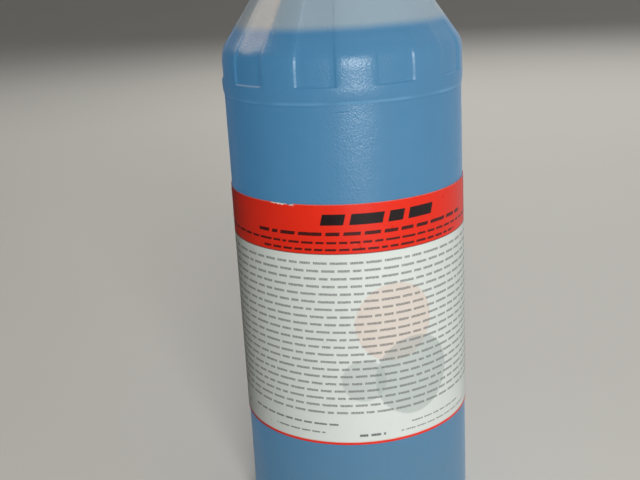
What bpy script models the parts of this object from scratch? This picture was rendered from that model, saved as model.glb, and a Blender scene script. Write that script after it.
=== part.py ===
"""A one-litre squeeze wash bottle, part full of blue liquid, with a printed wrap label.

Metres, +Z up.  The origin is on the bottle's axis, in the plane that it stands on.  The
spout points along -X.  Angles about the axis are counted from +X towards +Y, so the middle
of the front, which faces -Y, is at -90 degrees.

The head lifts as the screw cap turns, by THREAD_PITCH a turn.  The spout swivels on the
bottle's axis under the cap, and the tip cap pulls off along the nozzle's axis.
"""

from math import ceil, cos, pi, radians, sin, tan

import bmesh
import bpy
from mathutils import Matrix, Vector

# Play between pieces that touch
CLEARANCE = 0.0003

# Bottle body, outside
PANEL_RADIUS = 0.0432
PANEL_TOP = 0.165
HEEL_RADIUS = 0.0050
STANDING_RING_WIDTH = 0.0030
PUSH_UP = 0.0035
WALL = 0.0012

# Belt above the label panel, and the cone that it turns into
BELT_STEP_HEIGHT = 0.0030
BELT_PROUD = 0.0005
BELT_HEIGHT = 0.0126
BELT_TAPER = 0.0003
SHOULDER_CORNER_RADIUS = 0.0050
CONE_HALF_ANGLE = radians(34.2)

# Flutes pressed into the belt and the cone
FLUTE_COUNT = 10
FLUTE_SHARE = 0.508
FLUTE_DEPTH = 0.0006
FLUTE_WALL_RUN = 0.0007
FLUTE_SILL = 0.0023
FLUTE_FIRST_ANGLE = radians(-65.8)
FLUTE_FADE_START = 0.0150
FLUTE_FADE_END = 0.0080

# Neck
NECK_RADIUS = 0.0175
NECK_WALL = 0.0015
NECK_HEIGHT = 0.0210
NECK_FILLET = 0.0020
COLLAR_PROUD = 0.0022
COLLAR_HEIGHT = 0.0018

# Screw thread, right-handed, one start
THREAD_PITCH = 0.0042
THREAD_HEIGHT = 0.0012
NECK_THREAD_TURNS = 1.5
NECK_THREAD_FROM_RIM = 0.0037
THREAD_ROOT_WIDTH = 0.0016
THREAD_CREST_WIDTH = 0.0009
CAP_THREAD_TURNS = 1.0
CAP_THREAD_CREST_GAP = 0.0004
THREAD_SINK = 0.0005
THREAD_FLANK_PLAY = 0.00035
THREAD_FADE = radians(30.0)

# Contents and label
FILL_ABOVE_BELT = 0.0082
LABEL_HEIGHT = 0.0899
LABEL_BELOW_BELT = 0.0335
LABEL_THICKNESS = 0.0002
LABEL_WRAP = radians(262.0)
LABEL_MIDDLE = radians(-80.0)
LABEL_CORNER = 0.0030

# Gasket and spout insert
GASKET_THICKNESS = 0.0012
SEAL_INSET = 0.0002
FLANGE_THICKNESS = 0.0018
PLUG_GAP = 0.0030
PLUG_WALL = 0.0015
PLUG_DEPTH = 0.0108
PLUG_WEB = 0.0015
BOSS_WALL = 0.0016
STEM_WALL = 0.0034
STEM_RISE = 0.0020
HUB_HEIGHT = 0.0085
SOCKET_DEPTH = 0.0080

# Screw cap
CAP_SKIRT_GAP = 0.0012
CAP_WALL = 0.0015
CAP_TOP_THICKNESS = 0.0022
CAP_EDGE = 0.0014
CAP_RIB_COUNT = 48
CAP_RIB_DEPTH = 0.0006
CAP_PLAIN_BAND = 0.0012

# Tubes
TUBE_RADIUS = 0.00325
TUBE_BORE_RADIUS = 0.0022
DIP_TUBE_FLOOR_GAP = 0.0030
DIP_TUBE_CUT = radians(45.0)
TUBE_RISE = 0.0180
BEND_RADIUS = 0.0200
BEND_ANGLE = radians(115.0)
SPOUT_STRAIGHT = 0.0400

# Nozzle tip
SLEEVE_LENGTH = 0.0100
SLEEVE_WALL = 0.0012
NOZZLE_SHOULDER = 0.0020
NOZZLE_TAPER = 0.0240
NOZZLE_TIP_RADIUS = 0.0015
JET_RADIUS = 0.0007

# Tip cap with its strap and ring
TIP_CAP_GRIP = 0.0090
TIP_CAP_WALL = 0.0012
TIP_CAP_LIP = 0.0008
STRAP_WIDTH = 0.0040
STRAP_THICKNESS = 0.0010
STRAP_BOW = 0.0045
RING_WIDTH = 0.0040
RING_WALL = 0.0018
RING_FROM_BEND = 0.0030

# Facets
CORNER_STEPS = 4
LAND_COLUMNS = 3
LIQUID_COLUMNS = 48
CAP_COLUMNS = 2 * CAP_RIB_COUNT
THREAD_STEPS = 40
SEAL_COLUMNS = 48
INSERT_COLUMNS = 32
TUBE_SIDES = 16
SMALL_COLUMNS = 20
BEND_STEPS = 9
STRAP_STEPS = 12

# Heights and radii that follow from the sizes above
BELT_BOTTOM = PANEL_TOP + BELT_STEP_HEIGHT
BELT_TOP = BELT_BOTTOM + BELT_HEIGHT
BELT_RADIUS = PANEL_RADIUS + BELT_PROUD
BELT_TOP_RADIUS = BELT_RADIUS - BELT_TAPER
CORNER_TANGENT = SHOULDER_CORNER_RADIUS * tan(CONE_HALF_ANGLE / 2)
CONE_TOP = BELT_TOP + (BELT_TOP_RADIUS - NECK_RADIUS) / tan(CONE_HALF_ANGLE)
RIM = CONE_TOP + NECK_HEIGHT
NECK_BORE = NECK_RADIUS - NECK_WALL
INNER_FLOOR = PUSH_UP + WALL
LIQUID_LEVEL = BELT_TOP + FILL_ABOVE_BELT
LABEL_TOP = PANEL_TOP - LABEL_BELOW_BELT
LABEL_BOTTOM = LABEL_TOP - LABEL_HEIGHT
COLLAR_TOP = CONE_TOP + NECK_FILLET + COLLAR_HEIGHT

GASKET_BOTTOM = RIM + CLEARANCE
FLANGE_BOTTOM = GASKET_BOTTOM + GASKET_THICKNESS + CLEARANCE
FLANGE_TOP = FLANGE_BOTTOM + FLANGE_THICKNESS
CAP_CEILING = FLANGE_TOP + CLEARANCE
CAP_TOP = CAP_CEILING + CAP_TOP_THICKNESS
CAP_SKIRT = COLLAR_TOP + CAP_SKIRT_GAP
CAP_BORE = NECK_RADIUS + THREAD_HEIGHT + CLEARANCE
CAP_RADIUS = CAP_BORE + CAP_WALL
FLANGE_RADIUS = NECK_RADIUS - SEAL_INSET
PLUG_RADIUS = NECK_BORE - PLUG_GAP
GASKET_BORE = PLUG_RADIUS + CLEARANCE

SOCKET_RADIUS = TUBE_RADIUS + CLEARANCE
STEM_RADIUS = SOCKET_RADIUS + STEM_WALL
BOSS_RADIUS = SOCKET_RADIUS + BOSS_WALL
PLUG_BOTTOM = FLANGE_BOTTOM - PLUG_DEPTH
LOWER_SOCKET_TOP = PLUG_BOTTOM + SOCKET_DEPTH
STEM_TOP = CAP_TOP + STEM_RISE
HUB_TOP = STEM_TOP + HUB_HEIGHT
UPPER_SOCKET_FLOOR = HUB_TOP - SOCKET_DEPTH

TUBE_START = UPPER_SOCKET_FLOOR + CLEARANCE
BEND_START = HUB_TOP + TUBE_RISE
SLEEVE_RADIUS = SOCKET_RADIUS + SLEEVE_WALL
SLEEVE_START = SPOUT_STRAIGHT - SLEEVE_LENGTH
TAPER_START = SPOUT_STRAIGHT + NOZZLE_SHOULDER
NOZZLE_END = TAPER_START + NOZZLE_TAPER
TIP_CAP_MOUTH = NOZZLE_END - TIP_CAP_GRIP


def clear_scene():
    for thing in list(bpy.data.objects):
        bpy.data.objects.remove(thing, do_unlink=True)


def material(name, colour, roughness, alpha=1.0):
    made = bpy.data.materials.new(name)
    made.use_nodes = True
    shader = made.node_tree.nodes["Principled BSDF"]
    shader.inputs["Base Color"].default_value = (*colour, 1.0)
    shader.inputs["Roughness"].default_value = roughness
    shader.inputs["Metallic"].default_value = 0.0
    shader.inputs["Alpha"].default_value = alpha
    made.diffuse_color = (*colour, alpha)
    return made


def object_from(name, mesh_data, surface=None, sharp_angle=radians(32.0)):
    """An object of a bmesh, its faces turned outwards and its round stretches shaded smooth."""
    bmesh.ops.recalc_face_normals(mesh_data, faces=mesh_data.faces)
    mesh = bpy.data.meshes.new(name)
    mesh_data.to_mesh(mesh)
    mesh_data.free()
    mesh.shade_smooth()
    mesh.set_sharp_from_angle(angle=sharp_angle)
    made = bpy.data.objects.new(name, mesh)
    bpy.context.collection.objects.link(made)
    if surface:
        mesh.materials.append(surface)
    return made


def axis_empty(name, place, turn=None):
    """An empty on a joint's axis, to carry the pieces that move with the joint."""
    empty = bpy.data.objects.new(name, None)
    bpy.context.collection.objects.link(empty)
    empty.matrix_world = Matrix.Translation(place) @ (turn or Matrix.Identity(4))
    return empty


def carry(piece, parent):
    """Parents a piece and leaves it where it is in the world."""
    bpy.context.view_layer.update()
    piece.parent = parent
    piece.matrix_parent_inverse = parent.matrix_world.inverted()


def unite(piece, extras):
    """Joins extra solids into a piece with exact Booleans."""
    for extra in extras:
        modifier = piece.modifiers.new("join_" + extra.name, "BOOLEAN")
        modifier.operation = "UNION"
        modifier.solver = "EXACT"
        modifier.object = extra
        extra.hide_render = True
        extra.display_type = "WIRE"
        extra.parent = piece


def even_angles(count):
    return [2 * pi * i / count for i in range(count)]


def turned(rows, angles, relief=None):
    """A turned solid.  Each row is (radius, height) or (radius, height, share of the relief).

    A profile that starts and ends on the axis is closed there, any other closes on itself.
    relief(column) is how far a column is pressed in.
    """
    body = bmesh.new()
    on_axis = rows[0][0] == 0
    rings = []
    for row in rows:
        radius, height = row[:2]
        share = row[2] if len(row) > 2 else 0.0
        if radius == 0:
            rings.append([body.verts.new((0, 0, height))])
            continue
        ring = []
        for column, angle in enumerate(angles):
            pressed = radius - share * relief(column) if share else radius
            ring.append(body.verts.new((pressed * cos(angle), pressed * sin(angle), height)))
        rings.append(ring)
    pairs = list(zip(rings, rings[1:]))
    if not on_axis:
        pairs.append((rings[-1], rings[0]))
    count = len(angles)
    for lower, upper in pairs:
        for column in range(count):
            following = (column + 1) % count
            corners = [lower[column % len(lower)], lower[following % len(lower)]]
            corners += [upper[following % len(upper)], upper[column % len(upper)]]
            body.faces.new(list(dict.fromkeys(corners)))
    return body


def arc(centre, radius, start, end, steps):
    """Points of an arc in the profile plane, both ends included."""
    points = []
    for step in range(steps + 1):
        angle = start + (end - start) * step / steps
        points.append((centre[0] + radius * cos(angle), centre[1] + radius * sin(angle)))
    return points


def shoulder_corner(inset):
    """The round corner between belt and cone, for a wall face that lies inset inside the outer one."""
    centre_x = BELT_TOP_RADIUS - SHOULDER_CORNER_RADIUS
    centre_z = BELT_TOP - CORNER_TANGENT
    radius = SHOULDER_CORNER_RADIUS - inset
    return arc((centre_x, centre_z), radius, 0.0, CONE_HALF_ANGLE, CORNER_STEPS)


def cone_radius(height, inset=0.0):
    return NECK_RADIUS + (CONE_TOP - height) * tan(CONE_HALF_ANGLE) - inset / cos(CONE_HALF_ANGLE)


def heel(inset):
    """The round edge between base and panel, from the base up."""
    centre = (PANEL_RADIUS - HEEL_RADIUS, HEEL_RADIUS)
    return arc(centre, HEEL_RADIUS - inset, -pi / 2, 0.0, CORNER_STEPS)


def inner_rows(inset, floor_inset):
    """The inside of the bottle from the centre of its floor up to the top of the cone."""
    ring_inner = PANEL_RADIUS - HEEL_RADIUS - STANDING_RING_WIDTH
    rows = [(0.0, PUSH_UP + floor_inset), (ring_inner * 0.6, PUSH_UP * 0.85 + floor_inset)]
    rows += heel(inset)
    rows.append((PANEL_RADIUS - inset, PANEL_TOP))
    rows.append((BELT_RADIUS - inset, BELT_BOTTOM))
    rows += shoulder_corner(inset)
    return rows


def bottle_rows():
    """The bottle's section: up the outside from the middle of the base, over the rim and down inside."""
    ring_inner = PANEL_RADIUS - HEEL_RADIUS - STANDING_RING_WIDTH
    rows = [(0.0, PUSH_UP), (ring_inner * 0.6, PUSH_UP * 0.85), (ring_inner, 0.0)]
    rows += heel(0.0)
    sill = BELT_BOTTOM + FLUTE_SILL
    sill_radius = BELT_RADIUS - BELT_TAPER * FLUTE_SILL / BELT_HEIGHT
    rows += [(PANEL_RADIUS, PANEL_TOP), (BELT_RADIUS, BELT_BOTTOM)]
    rows += [(sill_radius, sill), (sill_radius, sill + FLUTE_WALL_RUN, 1.0)]
    rows += [(*point, 1.0) for point in shoulder_corner(0.0)]
    fade_start = CONE_TOP - FLUTE_FADE_START
    fade_end = CONE_TOP - FLUTE_FADE_END
    rows += [(cone_radius(fade_start), fade_start, 1.0), (cone_radius(fade_end), fade_end)]
    blend = NECK_FILLET * tan((pi / 2 - CONE_HALF_ANGLE) / 2)
    rows.append((cone_radius(CONE_TOP - blend), CONE_TOP - blend))
    rows.append((NECK_RADIUS, CONE_TOP + NECK_FILLET))
    collar = NECK_RADIUS + COLLAR_PROUD
    collar_bottom = COLLAR_TOP - COLLAR_HEIGHT
    rows += [(collar, collar_bottom + COLLAR_HEIGHT / 4), (collar, COLLAR_TOP - COLLAR_HEIGHT / 4)]
    rows.append((NECK_RADIUS, COLLAR_TOP))
    rim_edge = NECK_WALL / 4
    rows += [(NECK_RADIUS, RIM - rim_edge), (NECK_RADIUS - rim_edge, RIM)]
    rows.append((NECK_BORE, RIM))
    bore_bottom = CONE_TOP + (NECK_RADIUS - NECK_BORE - WALL / cos(CONE_HALF_ANGLE)) / tan(CONE_HALF_ANGLE)
    rows.append((NECK_BORE, bore_bottom))
    rows += reversed(inner_rows(WALL, WALL))
    return rows


def flute_angles():
    """Column angles with a column on each edge of each flute, and how far each is pressed in."""
    pitch = 2 * pi / FLUTE_COUNT
    half = pitch * FLUTE_SHARE / 2
    run = FLUTE_WALL_RUN / PANEL_RADIUS
    angles = []
    pressed = []
    for flute in range(FLUTE_COUNT):
        middle = FLUTE_FIRST_ANGLE + flute * pitch
        for step in range(LAND_COLUMNS + 1):
            angles.append(middle - half + run + (half - run) * 2 * step / LAND_COLUMNS)
            pressed.append(FLUTE_DEPTH)
        for step in range(LAND_COLUMNS + 1):
            angles.append(middle + half + (pitch - 2 * half) * step / LAND_COLUMNS)
            pressed.append(0.0)
    return angles, pressed


def helical_ridge(name, root_radius, crest_radius, root_width, crest_width, start_height, turns):
    """A tapered ridge along a right-handed helix, faded into its wall at both ends."""
    steps = ceil(turns * THREAD_STEPS)
    outward = 1 if crest_radius > root_radius else -1
    sunk_radius = root_radius - outward * THREAD_SINK
    slope = (root_width - crest_width) / 2 / abs(crest_radius - root_radius)
    sunk_half = root_width / 2 + slope * THREAD_SINK
    ridge = bmesh.new()
    sections = []
    for step in range(steps + 1):
        angle = turns * 2 * pi * step / steps
        height = start_height + THREAD_PITCH * angle / (2 * pi)
        from_end = min(angle, turns * 2 * pi - angle)
        share = min(1.0, from_end / THREAD_FADE)
        top_radius = sunk_radius + (crest_radius - sunk_radius) * (0.15 + 0.85 * share)
        outline = [(sunk_radius, -sunk_half), (top_radius, -crest_width / 2)]
        outline += [(top_radius, crest_width / 2), (sunk_radius, sunk_half)]
        section = []
        for radius, offset in outline:
            section.append(ridge.verts.new((radius * cos(angle), radius * sin(angle), height + offset)))
        sections.append(section)
    for near, far in zip(sections, sections[1:]):
        for corner in range(4):
            after = (corner + 1) % 4
            ridge.faces.new((near[corner], near[after], far[after], far[corner]))
    ridge.faces.new(sections[0])
    ridge.faces.new(sections[-1])
    return object_from(name, ridge)


def neck_thread_start():
    return RIM - NECK_THREAD_FROM_RIM - THREAD_PITCH * NECK_THREAD_TURNS


def make_bottle():
    angles, pressed = flute_angles()
    shell = turned(bottle_rows(), angles, lambda column: pressed[column])
    surface = material("translucent_polyethylene", (0.30, 0.52, 0.66), 0.38, 0.55)
    bottle = object_from("bottle", shell, surface)
    ridge = helical_ridge(
        "neck_thread",
        NECK_RADIUS,
        NECK_RADIUS + THREAD_HEIGHT,
        THREAD_ROOT_WIDTH,
        THREAD_CREST_WIDTH,
        neck_thread_start(),
        NECK_THREAD_TURNS,
    )
    unite(bottle, [ridge])
    return bottle


def make_liquid():
    """The contents, level at the top, with a hole along the axis for the dip tube."""
    inset = WALL + CLEARANCE
    hole = TUBE_RADIUS + CLEARANCE
    rows = [row for row in inner_rows(inset, inset) if row[1] < LIQUID_LEVEL]
    rows[0] = (hole, rows[0][1])
    rows += [(cone_radius(LIQUID_LEVEL, inset), LIQUID_LEVEL), (hole, LIQUID_LEVEL)]
    surface = material("blue_liquid", (0.05, 0.22, 0.42), 0.10, 0.85)
    return object_from("liquid", turned(rows, even_angles(LIQUID_COLUMNS)), surface)


def make_label():
    """A thin wrap label, open at the back, with round corners."""
    inner = PANEL_RADIUS + CLEARANCE
    outer = inner + LABEL_THICKNESS
    corner_angle = LABEL_CORNER / inner
    first = LABEL_MIDDLE - LABEL_WRAP / 2
    last = LABEL_MIDDLE + LABEL_WRAP / 2
    columns = []
    for step in range(CORNER_STEPS + 1):
        turn = pi / 2 * step / CORNER_STEPS
        columns.append((first + corner_angle * (1 - cos(turn)), LABEL_CORNER * (1 - sin(turn))))
    plain = ceil((LABEL_WRAP - 2 * corner_angle) / radians(4.5))
    for step in range(1, plain):
        columns.append((first + corner_angle + (last - first - 2 * corner_angle) * step / plain, 0.0))
    for angle, cut in columns[CORNER_STEPS::-1]:
        columns.append((first + last - angle, cut))
    sheet = bmesh.new()
    sections = []
    for angle, cut in columns:
        section = []
        for radius, height in (
            (inner, LABEL_BOTTOM + cut),
            (outer, LABEL_BOTTOM + cut),
            (outer, LABEL_TOP - cut),
            (inner, LABEL_TOP - cut),
        ):
            section.append(sheet.verts.new((radius * cos(angle), radius * sin(angle), height)))
        sections.append(section)
    for near, far in zip(sections, sections[1:]):
        for corner in range(4):
            after = (corner + 1) % 4
            sheet.faces.new((near[corner], near[after], far[after], far[corner]))
    sheet.faces.new(sections[0])
    sheet.faces.new(sections[-1])
    return object_from("label", sheet, material("printed_film", (0.80, 0.75, 0.73), 0.30))


def make_gasket():
    rows = [
        (GASKET_BORE, GASKET_BOTTOM),
        (FLANGE_RADIUS, GASKET_BOTTOM),
        (FLANGE_RADIUS, GASKET_BOTTOM + GASKET_THICKNESS),
        (GASKET_BORE, GASKET_BOTTOM + GASKET_THICKNESS),
    ]
    surface = material("gasket_foam", (0.78, 0.77, 0.72), 0.75)
    return object_from("neck_gasket", turned(rows, even_angles(SEAL_COLUMNS)), surface)


def make_screw_cap():
    """The ribbed cap, with a hole for the spout's stem and a thread ridge inside."""
    hole = STEM_RADIUS + CLEARANCE
    rows = [
        (CAP_BORE, CAP_SKIRT),
        (CAP_BORE, CAP_CEILING),
        (hole, CAP_CEILING),
        (hole, CAP_TOP),
        (CAP_RADIUS - CAP_EDGE, CAP_TOP),
        (CAP_RADIUS - CAP_EDGE / 4, CAP_TOP - CAP_EDGE / 2),
        (CAP_RADIUS, CAP_TOP - CAP_EDGE),
        (CAP_RADIUS, CAP_TOP - 2 * CAP_EDGE, 1.0),
        (CAP_RADIUS, CAP_SKIRT + CAP_PLAIN_BAND + CAP_RIB_DEPTH, 1.0),
        (CAP_RADIUS, CAP_SKIRT + CAP_PLAIN_BAND),
        (CAP_RADIUS, CAP_SKIRT),
    ]
    shell = turned(rows, even_angles(CAP_COLUMNS), lambda column: CAP_RIB_DEPTH * (column % 2))
    cap = object_from("screw_cap", shell, material("red_cap_plastic", (0.62, 0.04, 0.03), 0.38))
    crest = NECK_RADIUS + CAP_THREAD_CREST_GAP
    drop = (THREAD_ROOT_WIDTH + THREAD_CREST_WIDTH) / 2 + THREAD_FLANK_PLAY
    ridge = helical_ridge(
        "cap_thread",
        CAP_BORE,
        crest,
        THREAD_ROOT_WIDTH,
        THREAD_CREST_WIDTH,
        neck_thread_start() - drop,
        CAP_THREAD_TURNS,
    )
    unite(cap, [ridge])
    return cap


def make_spout_insert():
    """The moulded insert: a flange on the gasket, a plug in the neck and a stem through the cap."""
    groove_top = FLANGE_BOTTOM - PLUG_WEB
    rows = [
        (SOCKET_RADIUS, PLUG_BOTTOM),
        (SOCKET_RADIUS, LOWER_SOCKET_TOP),
        (TUBE_BORE_RADIUS, LOWER_SOCKET_TOP),
        (TUBE_BORE_RADIUS, UPPER_SOCKET_FLOOR),
        (SOCKET_RADIUS, UPPER_SOCKET_FLOOR),
        (SOCKET_RADIUS, HUB_TOP),
        (BOSS_RADIUS - BOSS_WALL / 4, HUB_TOP),
        (BOSS_RADIUS, HUB_TOP - BOSS_WALL / 4),
        (BOSS_RADIUS + BOSS_WALL / 4, STEM_TOP + BOSS_WALL / 2),
        (STEM_RADIUS - BOSS_WALL / 4, STEM_TOP),
        (STEM_RADIUS, STEM_TOP - BOSS_WALL / 4),
        (STEM_RADIUS, FLANGE_TOP),
        (FLANGE_RADIUS, FLANGE_TOP),
        (FLANGE_RADIUS, FLANGE_BOTTOM),
        (PLUG_RADIUS, FLANGE_BOTTOM),
        (PLUG_RADIUS, PLUG_BOTTOM + PLUG_WALL / 2),
        (PLUG_RADIUS - PLUG_WALL / 2, PLUG_BOTTOM),
        (PLUG_RADIUS - PLUG_WALL, PLUG_BOTTOM),
        (PLUG_RADIUS - PLUG_WALL, groove_top),
        (BOSS_RADIUS, groove_top),
        (BOSS_RADIUS, PLUG_BOTTOM),
    ]
    surface = material("natural_plastic", (0.80, 0.81, 0.78), 0.40)
    return object_from("spout_insert", turned(rows, even_angles(INSERT_COLUMNS)), surface)


def tube_from(name, frames, surface):
    """A tube through frames of (outer point, inner point) functions of the angle round the tube."""
    tube = bmesh.new()
    outer_rings = []
    inner_rings = []
    for outer_point, inner_point in frames:
        angles = even_angles(TUBE_SIDES)
        outer_rings.append([tube.verts.new(outer_point(angle)) for angle in angles])
        inner_rings.append([tube.verts.new(inner_point(angle)) for angle in angles])
    loop = outer_rings + inner_rings[::-1]
    for near, far in zip(loop, loop[1:] + loop[:1]):
        for side in range(TUBE_SIDES):
            after = (side + 1) % TUBE_SIDES
            tube.faces.new((near[side], near[after], far[after], far[side]))
    return object_from(name, tube, surface)


def make_dip_tube():
    """The straight tube on the bottle's axis, cut slanting at its foot."""
    foot = INNER_FLOOR + DIP_TUBE_FLOOR_GAP

    def slanted(radius):
        def point(angle):
            x = radius * cos(angle)
            return (x, radius * sin(angle), foot + (x + TUBE_RADIUS) * tan(DIP_TUBE_CUT))

        return point

    def level(radius):
        def point(angle):
            return (radius * cos(angle), radius * sin(angle), LOWER_SOCKET_TOP - CLEARANCE)

        return point

    frames = [
        (slanted(TUBE_RADIUS), slanted(TUBE_BORE_RADIUS)),
        (level(TUBE_RADIUS), level(TUBE_BORE_RADIUS)),
    ]
    return tube_from("dip_tube", frames, material("clear_tube", (0.82, 0.84, 0.83), 0.30, 0.6))


def spout_path():
    """Points and headings of the delivery tube's middle line, in the XZ plane."""
    path = [(Vector((0, 0, TUBE_START)), Vector((0, 0, 1)))]
    for step in range(BEND_STEPS + 1):
        angle = BEND_ANGLE * step / BEND_STEPS
        x = -BEND_RADIUS * (1 - cos(angle))
        z = BEND_START + BEND_RADIUS * sin(angle)
        path.append((Vector((x, 0, z)), Vector((-sin(angle), 0, cos(angle)))))
    last, heading = path[-1]
    path.append((last + heading * SPOUT_STRAIGHT, heading))
    return path


def make_delivery_tube():
    frames = []
    for middle, heading in spout_path():
        sideways = Vector((0, 1, 0))
        upward = sideways.cross(heading)

        def ring(radius, middle=middle, upward=upward, sideways=sideways):
            return lambda angle: middle + radius * (cos(angle) * upward + sin(angle) * sideways)

        frames.append((ring(TUBE_RADIUS), ring(TUBE_BORE_RADIUS)))
    return tube_from("delivery_tube", frames, material("spout_tube", (0.84, 0.86, 0.85), 0.32, 0.6))


def nozzle_frame():
    """The frame of the spout's straight end: its origin where the bend ends, +Z towards the jet.

    Its +X side is the upper side of the spout.
    """
    place, heading = spout_path()[-2]
    sideways = Vector((0, 1, 0))
    upper = -sideways.cross(heading)
    if upper.z < 0:
        upper = -upper
    across = heading.cross(upper)
    turn = Matrix((upper, across, heading)).transposed().to_4x4()
    return Matrix.Translation(place) @ turn


def nozzle_radius(distance):
    """Outer radius of the nozzle's taper at a distance along the spout's straight end."""
    share = (distance - TAPER_START) / NOZZLE_TAPER
    return SLEEVE_RADIUS + (NOZZLE_TIP_RADIUS - SLEEVE_RADIUS) * min(1.0, max(0.0, share))


def make_nozzle_tip(frame):
    """The drawn tip, whose sleeve fits over the end of the delivery tube."""
    rows = [
        (SOCKET_RADIUS, SLEEVE_START),
        (SLEEVE_RADIUS - SLEEVE_WALL / 3, SLEEVE_START),
        (SLEEVE_RADIUS, SLEEVE_START + SLEEVE_WALL / 3),
        (SLEEVE_RADIUS, TAPER_START),
        (NOZZLE_TIP_RADIUS, NOZZLE_END),
        (JET_RADIUS, NOZZLE_END),
        (TUBE_BORE_RADIUS, TAPER_START),
        (TUBE_BORE_RADIUS, SPOUT_STRAIGHT + CLEARANCE),
        (SOCKET_RADIUS, SPOUT_STRAIGHT + CLEARANCE),
    ]
    surface = material("nozzle_plastic", (0.86, 0.87, 0.85), 0.35)
    nozzle = object_from("nozzle_tip", turned(rows, even_angles(SMALL_COLUMNS)), surface)
    nozzle.matrix_world = frame
    return nozzle


def strap_offset(distance, start, end, start_offset, end_offset):
    share = (distance - start) / (end - start)
    return start_offset + (end_offset - start_offset) * share + STRAP_BOW * sin(pi * share)


def make_tip_cap(frame):
    """The tip's cap, the bowed strap above the spout and the ring that slides on the tube."""
    mouth_bore = nozzle_radius(TIP_CAP_MOUTH) + CLEARANCE
    end_bore = NOZZLE_TIP_RADIUS + CLEARANCE
    outer = mouth_bore + TIP_CAP_WALL
    closed_end = NOZZLE_END + CLEARANCE
    rows = [
        (0.0, closed_end),
        (end_bore, closed_end),
        (mouth_bore, TIP_CAP_MOUTH),
        (outer + TIP_CAP_LIP, TIP_CAP_MOUTH),
        (outer + TIP_CAP_LIP, TIP_CAP_MOUTH + TIP_CAP_WALL),
        (outer, TIP_CAP_MOUTH + TIP_CAP_WALL),
        (outer - TIP_CAP_WALL / 4, closed_end + TIP_CAP_WALL / 2),
        (outer - TIP_CAP_WALL, closed_end + TIP_CAP_WALL),
        (0.0, closed_end + TIP_CAP_WALL),
    ]
    surface = material("tip_cap_plastic", (0.60, 0.05, 0.04), 0.42)
    cap = object_from("tip_cap", turned(rows, even_angles(SMALL_COLUMNS)), surface)

    ring_bore = SOCKET_RADIUS
    ring_rows = [
        (ring_bore, RING_FROM_BEND),
        (ring_bore + RING_WALL, RING_FROM_BEND),
        (ring_bore + RING_WALL, RING_FROM_BEND + RING_WIDTH),
        (ring_bore, RING_FROM_BEND + RING_WIDTH),
    ]
    ring = object_from("tip_cap_ring", turned(ring_rows, even_angles(SMALL_COLUMNS)))

    start = RING_FROM_BEND + RING_WIDTH / 2
    end = TIP_CAP_MOUTH + TIP_CAP_GRIP / 2
    start_offset = ring_bore + RING_WALL - STRAP_THICKNESS / 2
    end_offset = outer - STRAP_THICKNESS / 4
    strip = bmesh.new()
    sections = []
    for step in range(STRAP_STEPS + 1):
        distance = start + (end - start) * step / STRAP_STEPS
        offset = strap_offset(distance, start, end, start_offset, end_offset)
        section = []
        for side, lift in ((-1, -1), (1, -1), (1, 1), (-1, 1)):
            x = offset + lift * STRAP_THICKNESS / 2
            section.append(strip.verts.new((x, side * STRAP_WIDTH / 2, distance)))
        sections.append(section)
    for near, far in zip(sections, sections[1:]):
        for corner in range(4):
            after = (corner + 1) % 4
            strip.faces.new((near[corner], near[after], far[after], far[corner]))
    strip.faces.new(sections[0])
    strip.faces.new(sections[-1])
    strap = object_from("tip_cap_strap", strip)

    unite(cap, [ring, strap])
    cap.matrix_world = frame
    return cap


def main():
    clear_scene()
    make_bottle()
    make_liquid()
    make_label()

    lift_axis = axis_empty("head_lift_axis", (0, 0, RIM))
    cap_axis = axis_empty("cap_turn_axis", (0, 0, CAP_TOP))
    spout_axis = axis_empty("spout_swivel_axis", (0, 0, HUB_TOP))
    frame = nozzle_frame()
    tip_axis = axis_empty("tip_cap_axis", frame.to_translation(), frame.to_3x3().to_4x4())

    bpy.context.view_layer.update()
    carry(cap_axis, lift_axis)
    carry(spout_axis, lift_axis)
    carry(tip_axis, spout_axis)
    carry(make_gasket(), lift_axis)
    carry(make_screw_cap(), cap_axis)
    carry(make_spout_insert(), spout_axis)
    carry(make_dip_tube(), spout_axis)
    carry(make_delivery_tube(), spout_axis)
    carry(make_nozzle_tip(frame), spout_axis)
    carry(make_tip_cap(frame), tip_axis)


main()
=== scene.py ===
"""The looks of the wash bottle: finish of every surface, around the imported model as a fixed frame.

The frame is in metres, +Z up, with the bottle's axis on Z and its front towards -Y.  Sizes of the
pieces and of their surfaces are in millimetres here, and MM turns them into metres.  Angles about
the axis are counted from +X towards +Y, so the middle of the front is at -90 degrees.  On the label
and on the body, "along" is the arc length from the middle of the front, positive towards +X.
"""

from functools import partialmethod, reduce
from math import ceil, cos, degrees, hypot, pi, radians, sin, tan

import bmesh
import bpy
from mathutils import Matrix, Vector, noise


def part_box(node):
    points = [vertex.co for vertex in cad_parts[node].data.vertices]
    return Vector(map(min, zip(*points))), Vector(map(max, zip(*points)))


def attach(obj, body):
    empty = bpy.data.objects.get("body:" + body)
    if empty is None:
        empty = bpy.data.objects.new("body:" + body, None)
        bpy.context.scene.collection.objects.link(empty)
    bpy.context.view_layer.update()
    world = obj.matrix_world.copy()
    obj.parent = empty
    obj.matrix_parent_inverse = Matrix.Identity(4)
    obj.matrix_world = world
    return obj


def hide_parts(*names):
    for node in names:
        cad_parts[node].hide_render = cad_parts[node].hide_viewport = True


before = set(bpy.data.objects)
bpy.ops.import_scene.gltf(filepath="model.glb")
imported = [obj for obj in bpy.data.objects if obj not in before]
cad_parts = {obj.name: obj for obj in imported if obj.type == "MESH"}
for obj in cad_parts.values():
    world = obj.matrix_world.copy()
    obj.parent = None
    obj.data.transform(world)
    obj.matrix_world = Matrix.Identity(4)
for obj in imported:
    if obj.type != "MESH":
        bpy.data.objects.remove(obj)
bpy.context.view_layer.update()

MM = 0.001

# ---- sizes read off the frame

def box(node):
    """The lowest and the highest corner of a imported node, in millimetres."""
    return [Vector(corner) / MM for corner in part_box(node)]


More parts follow.
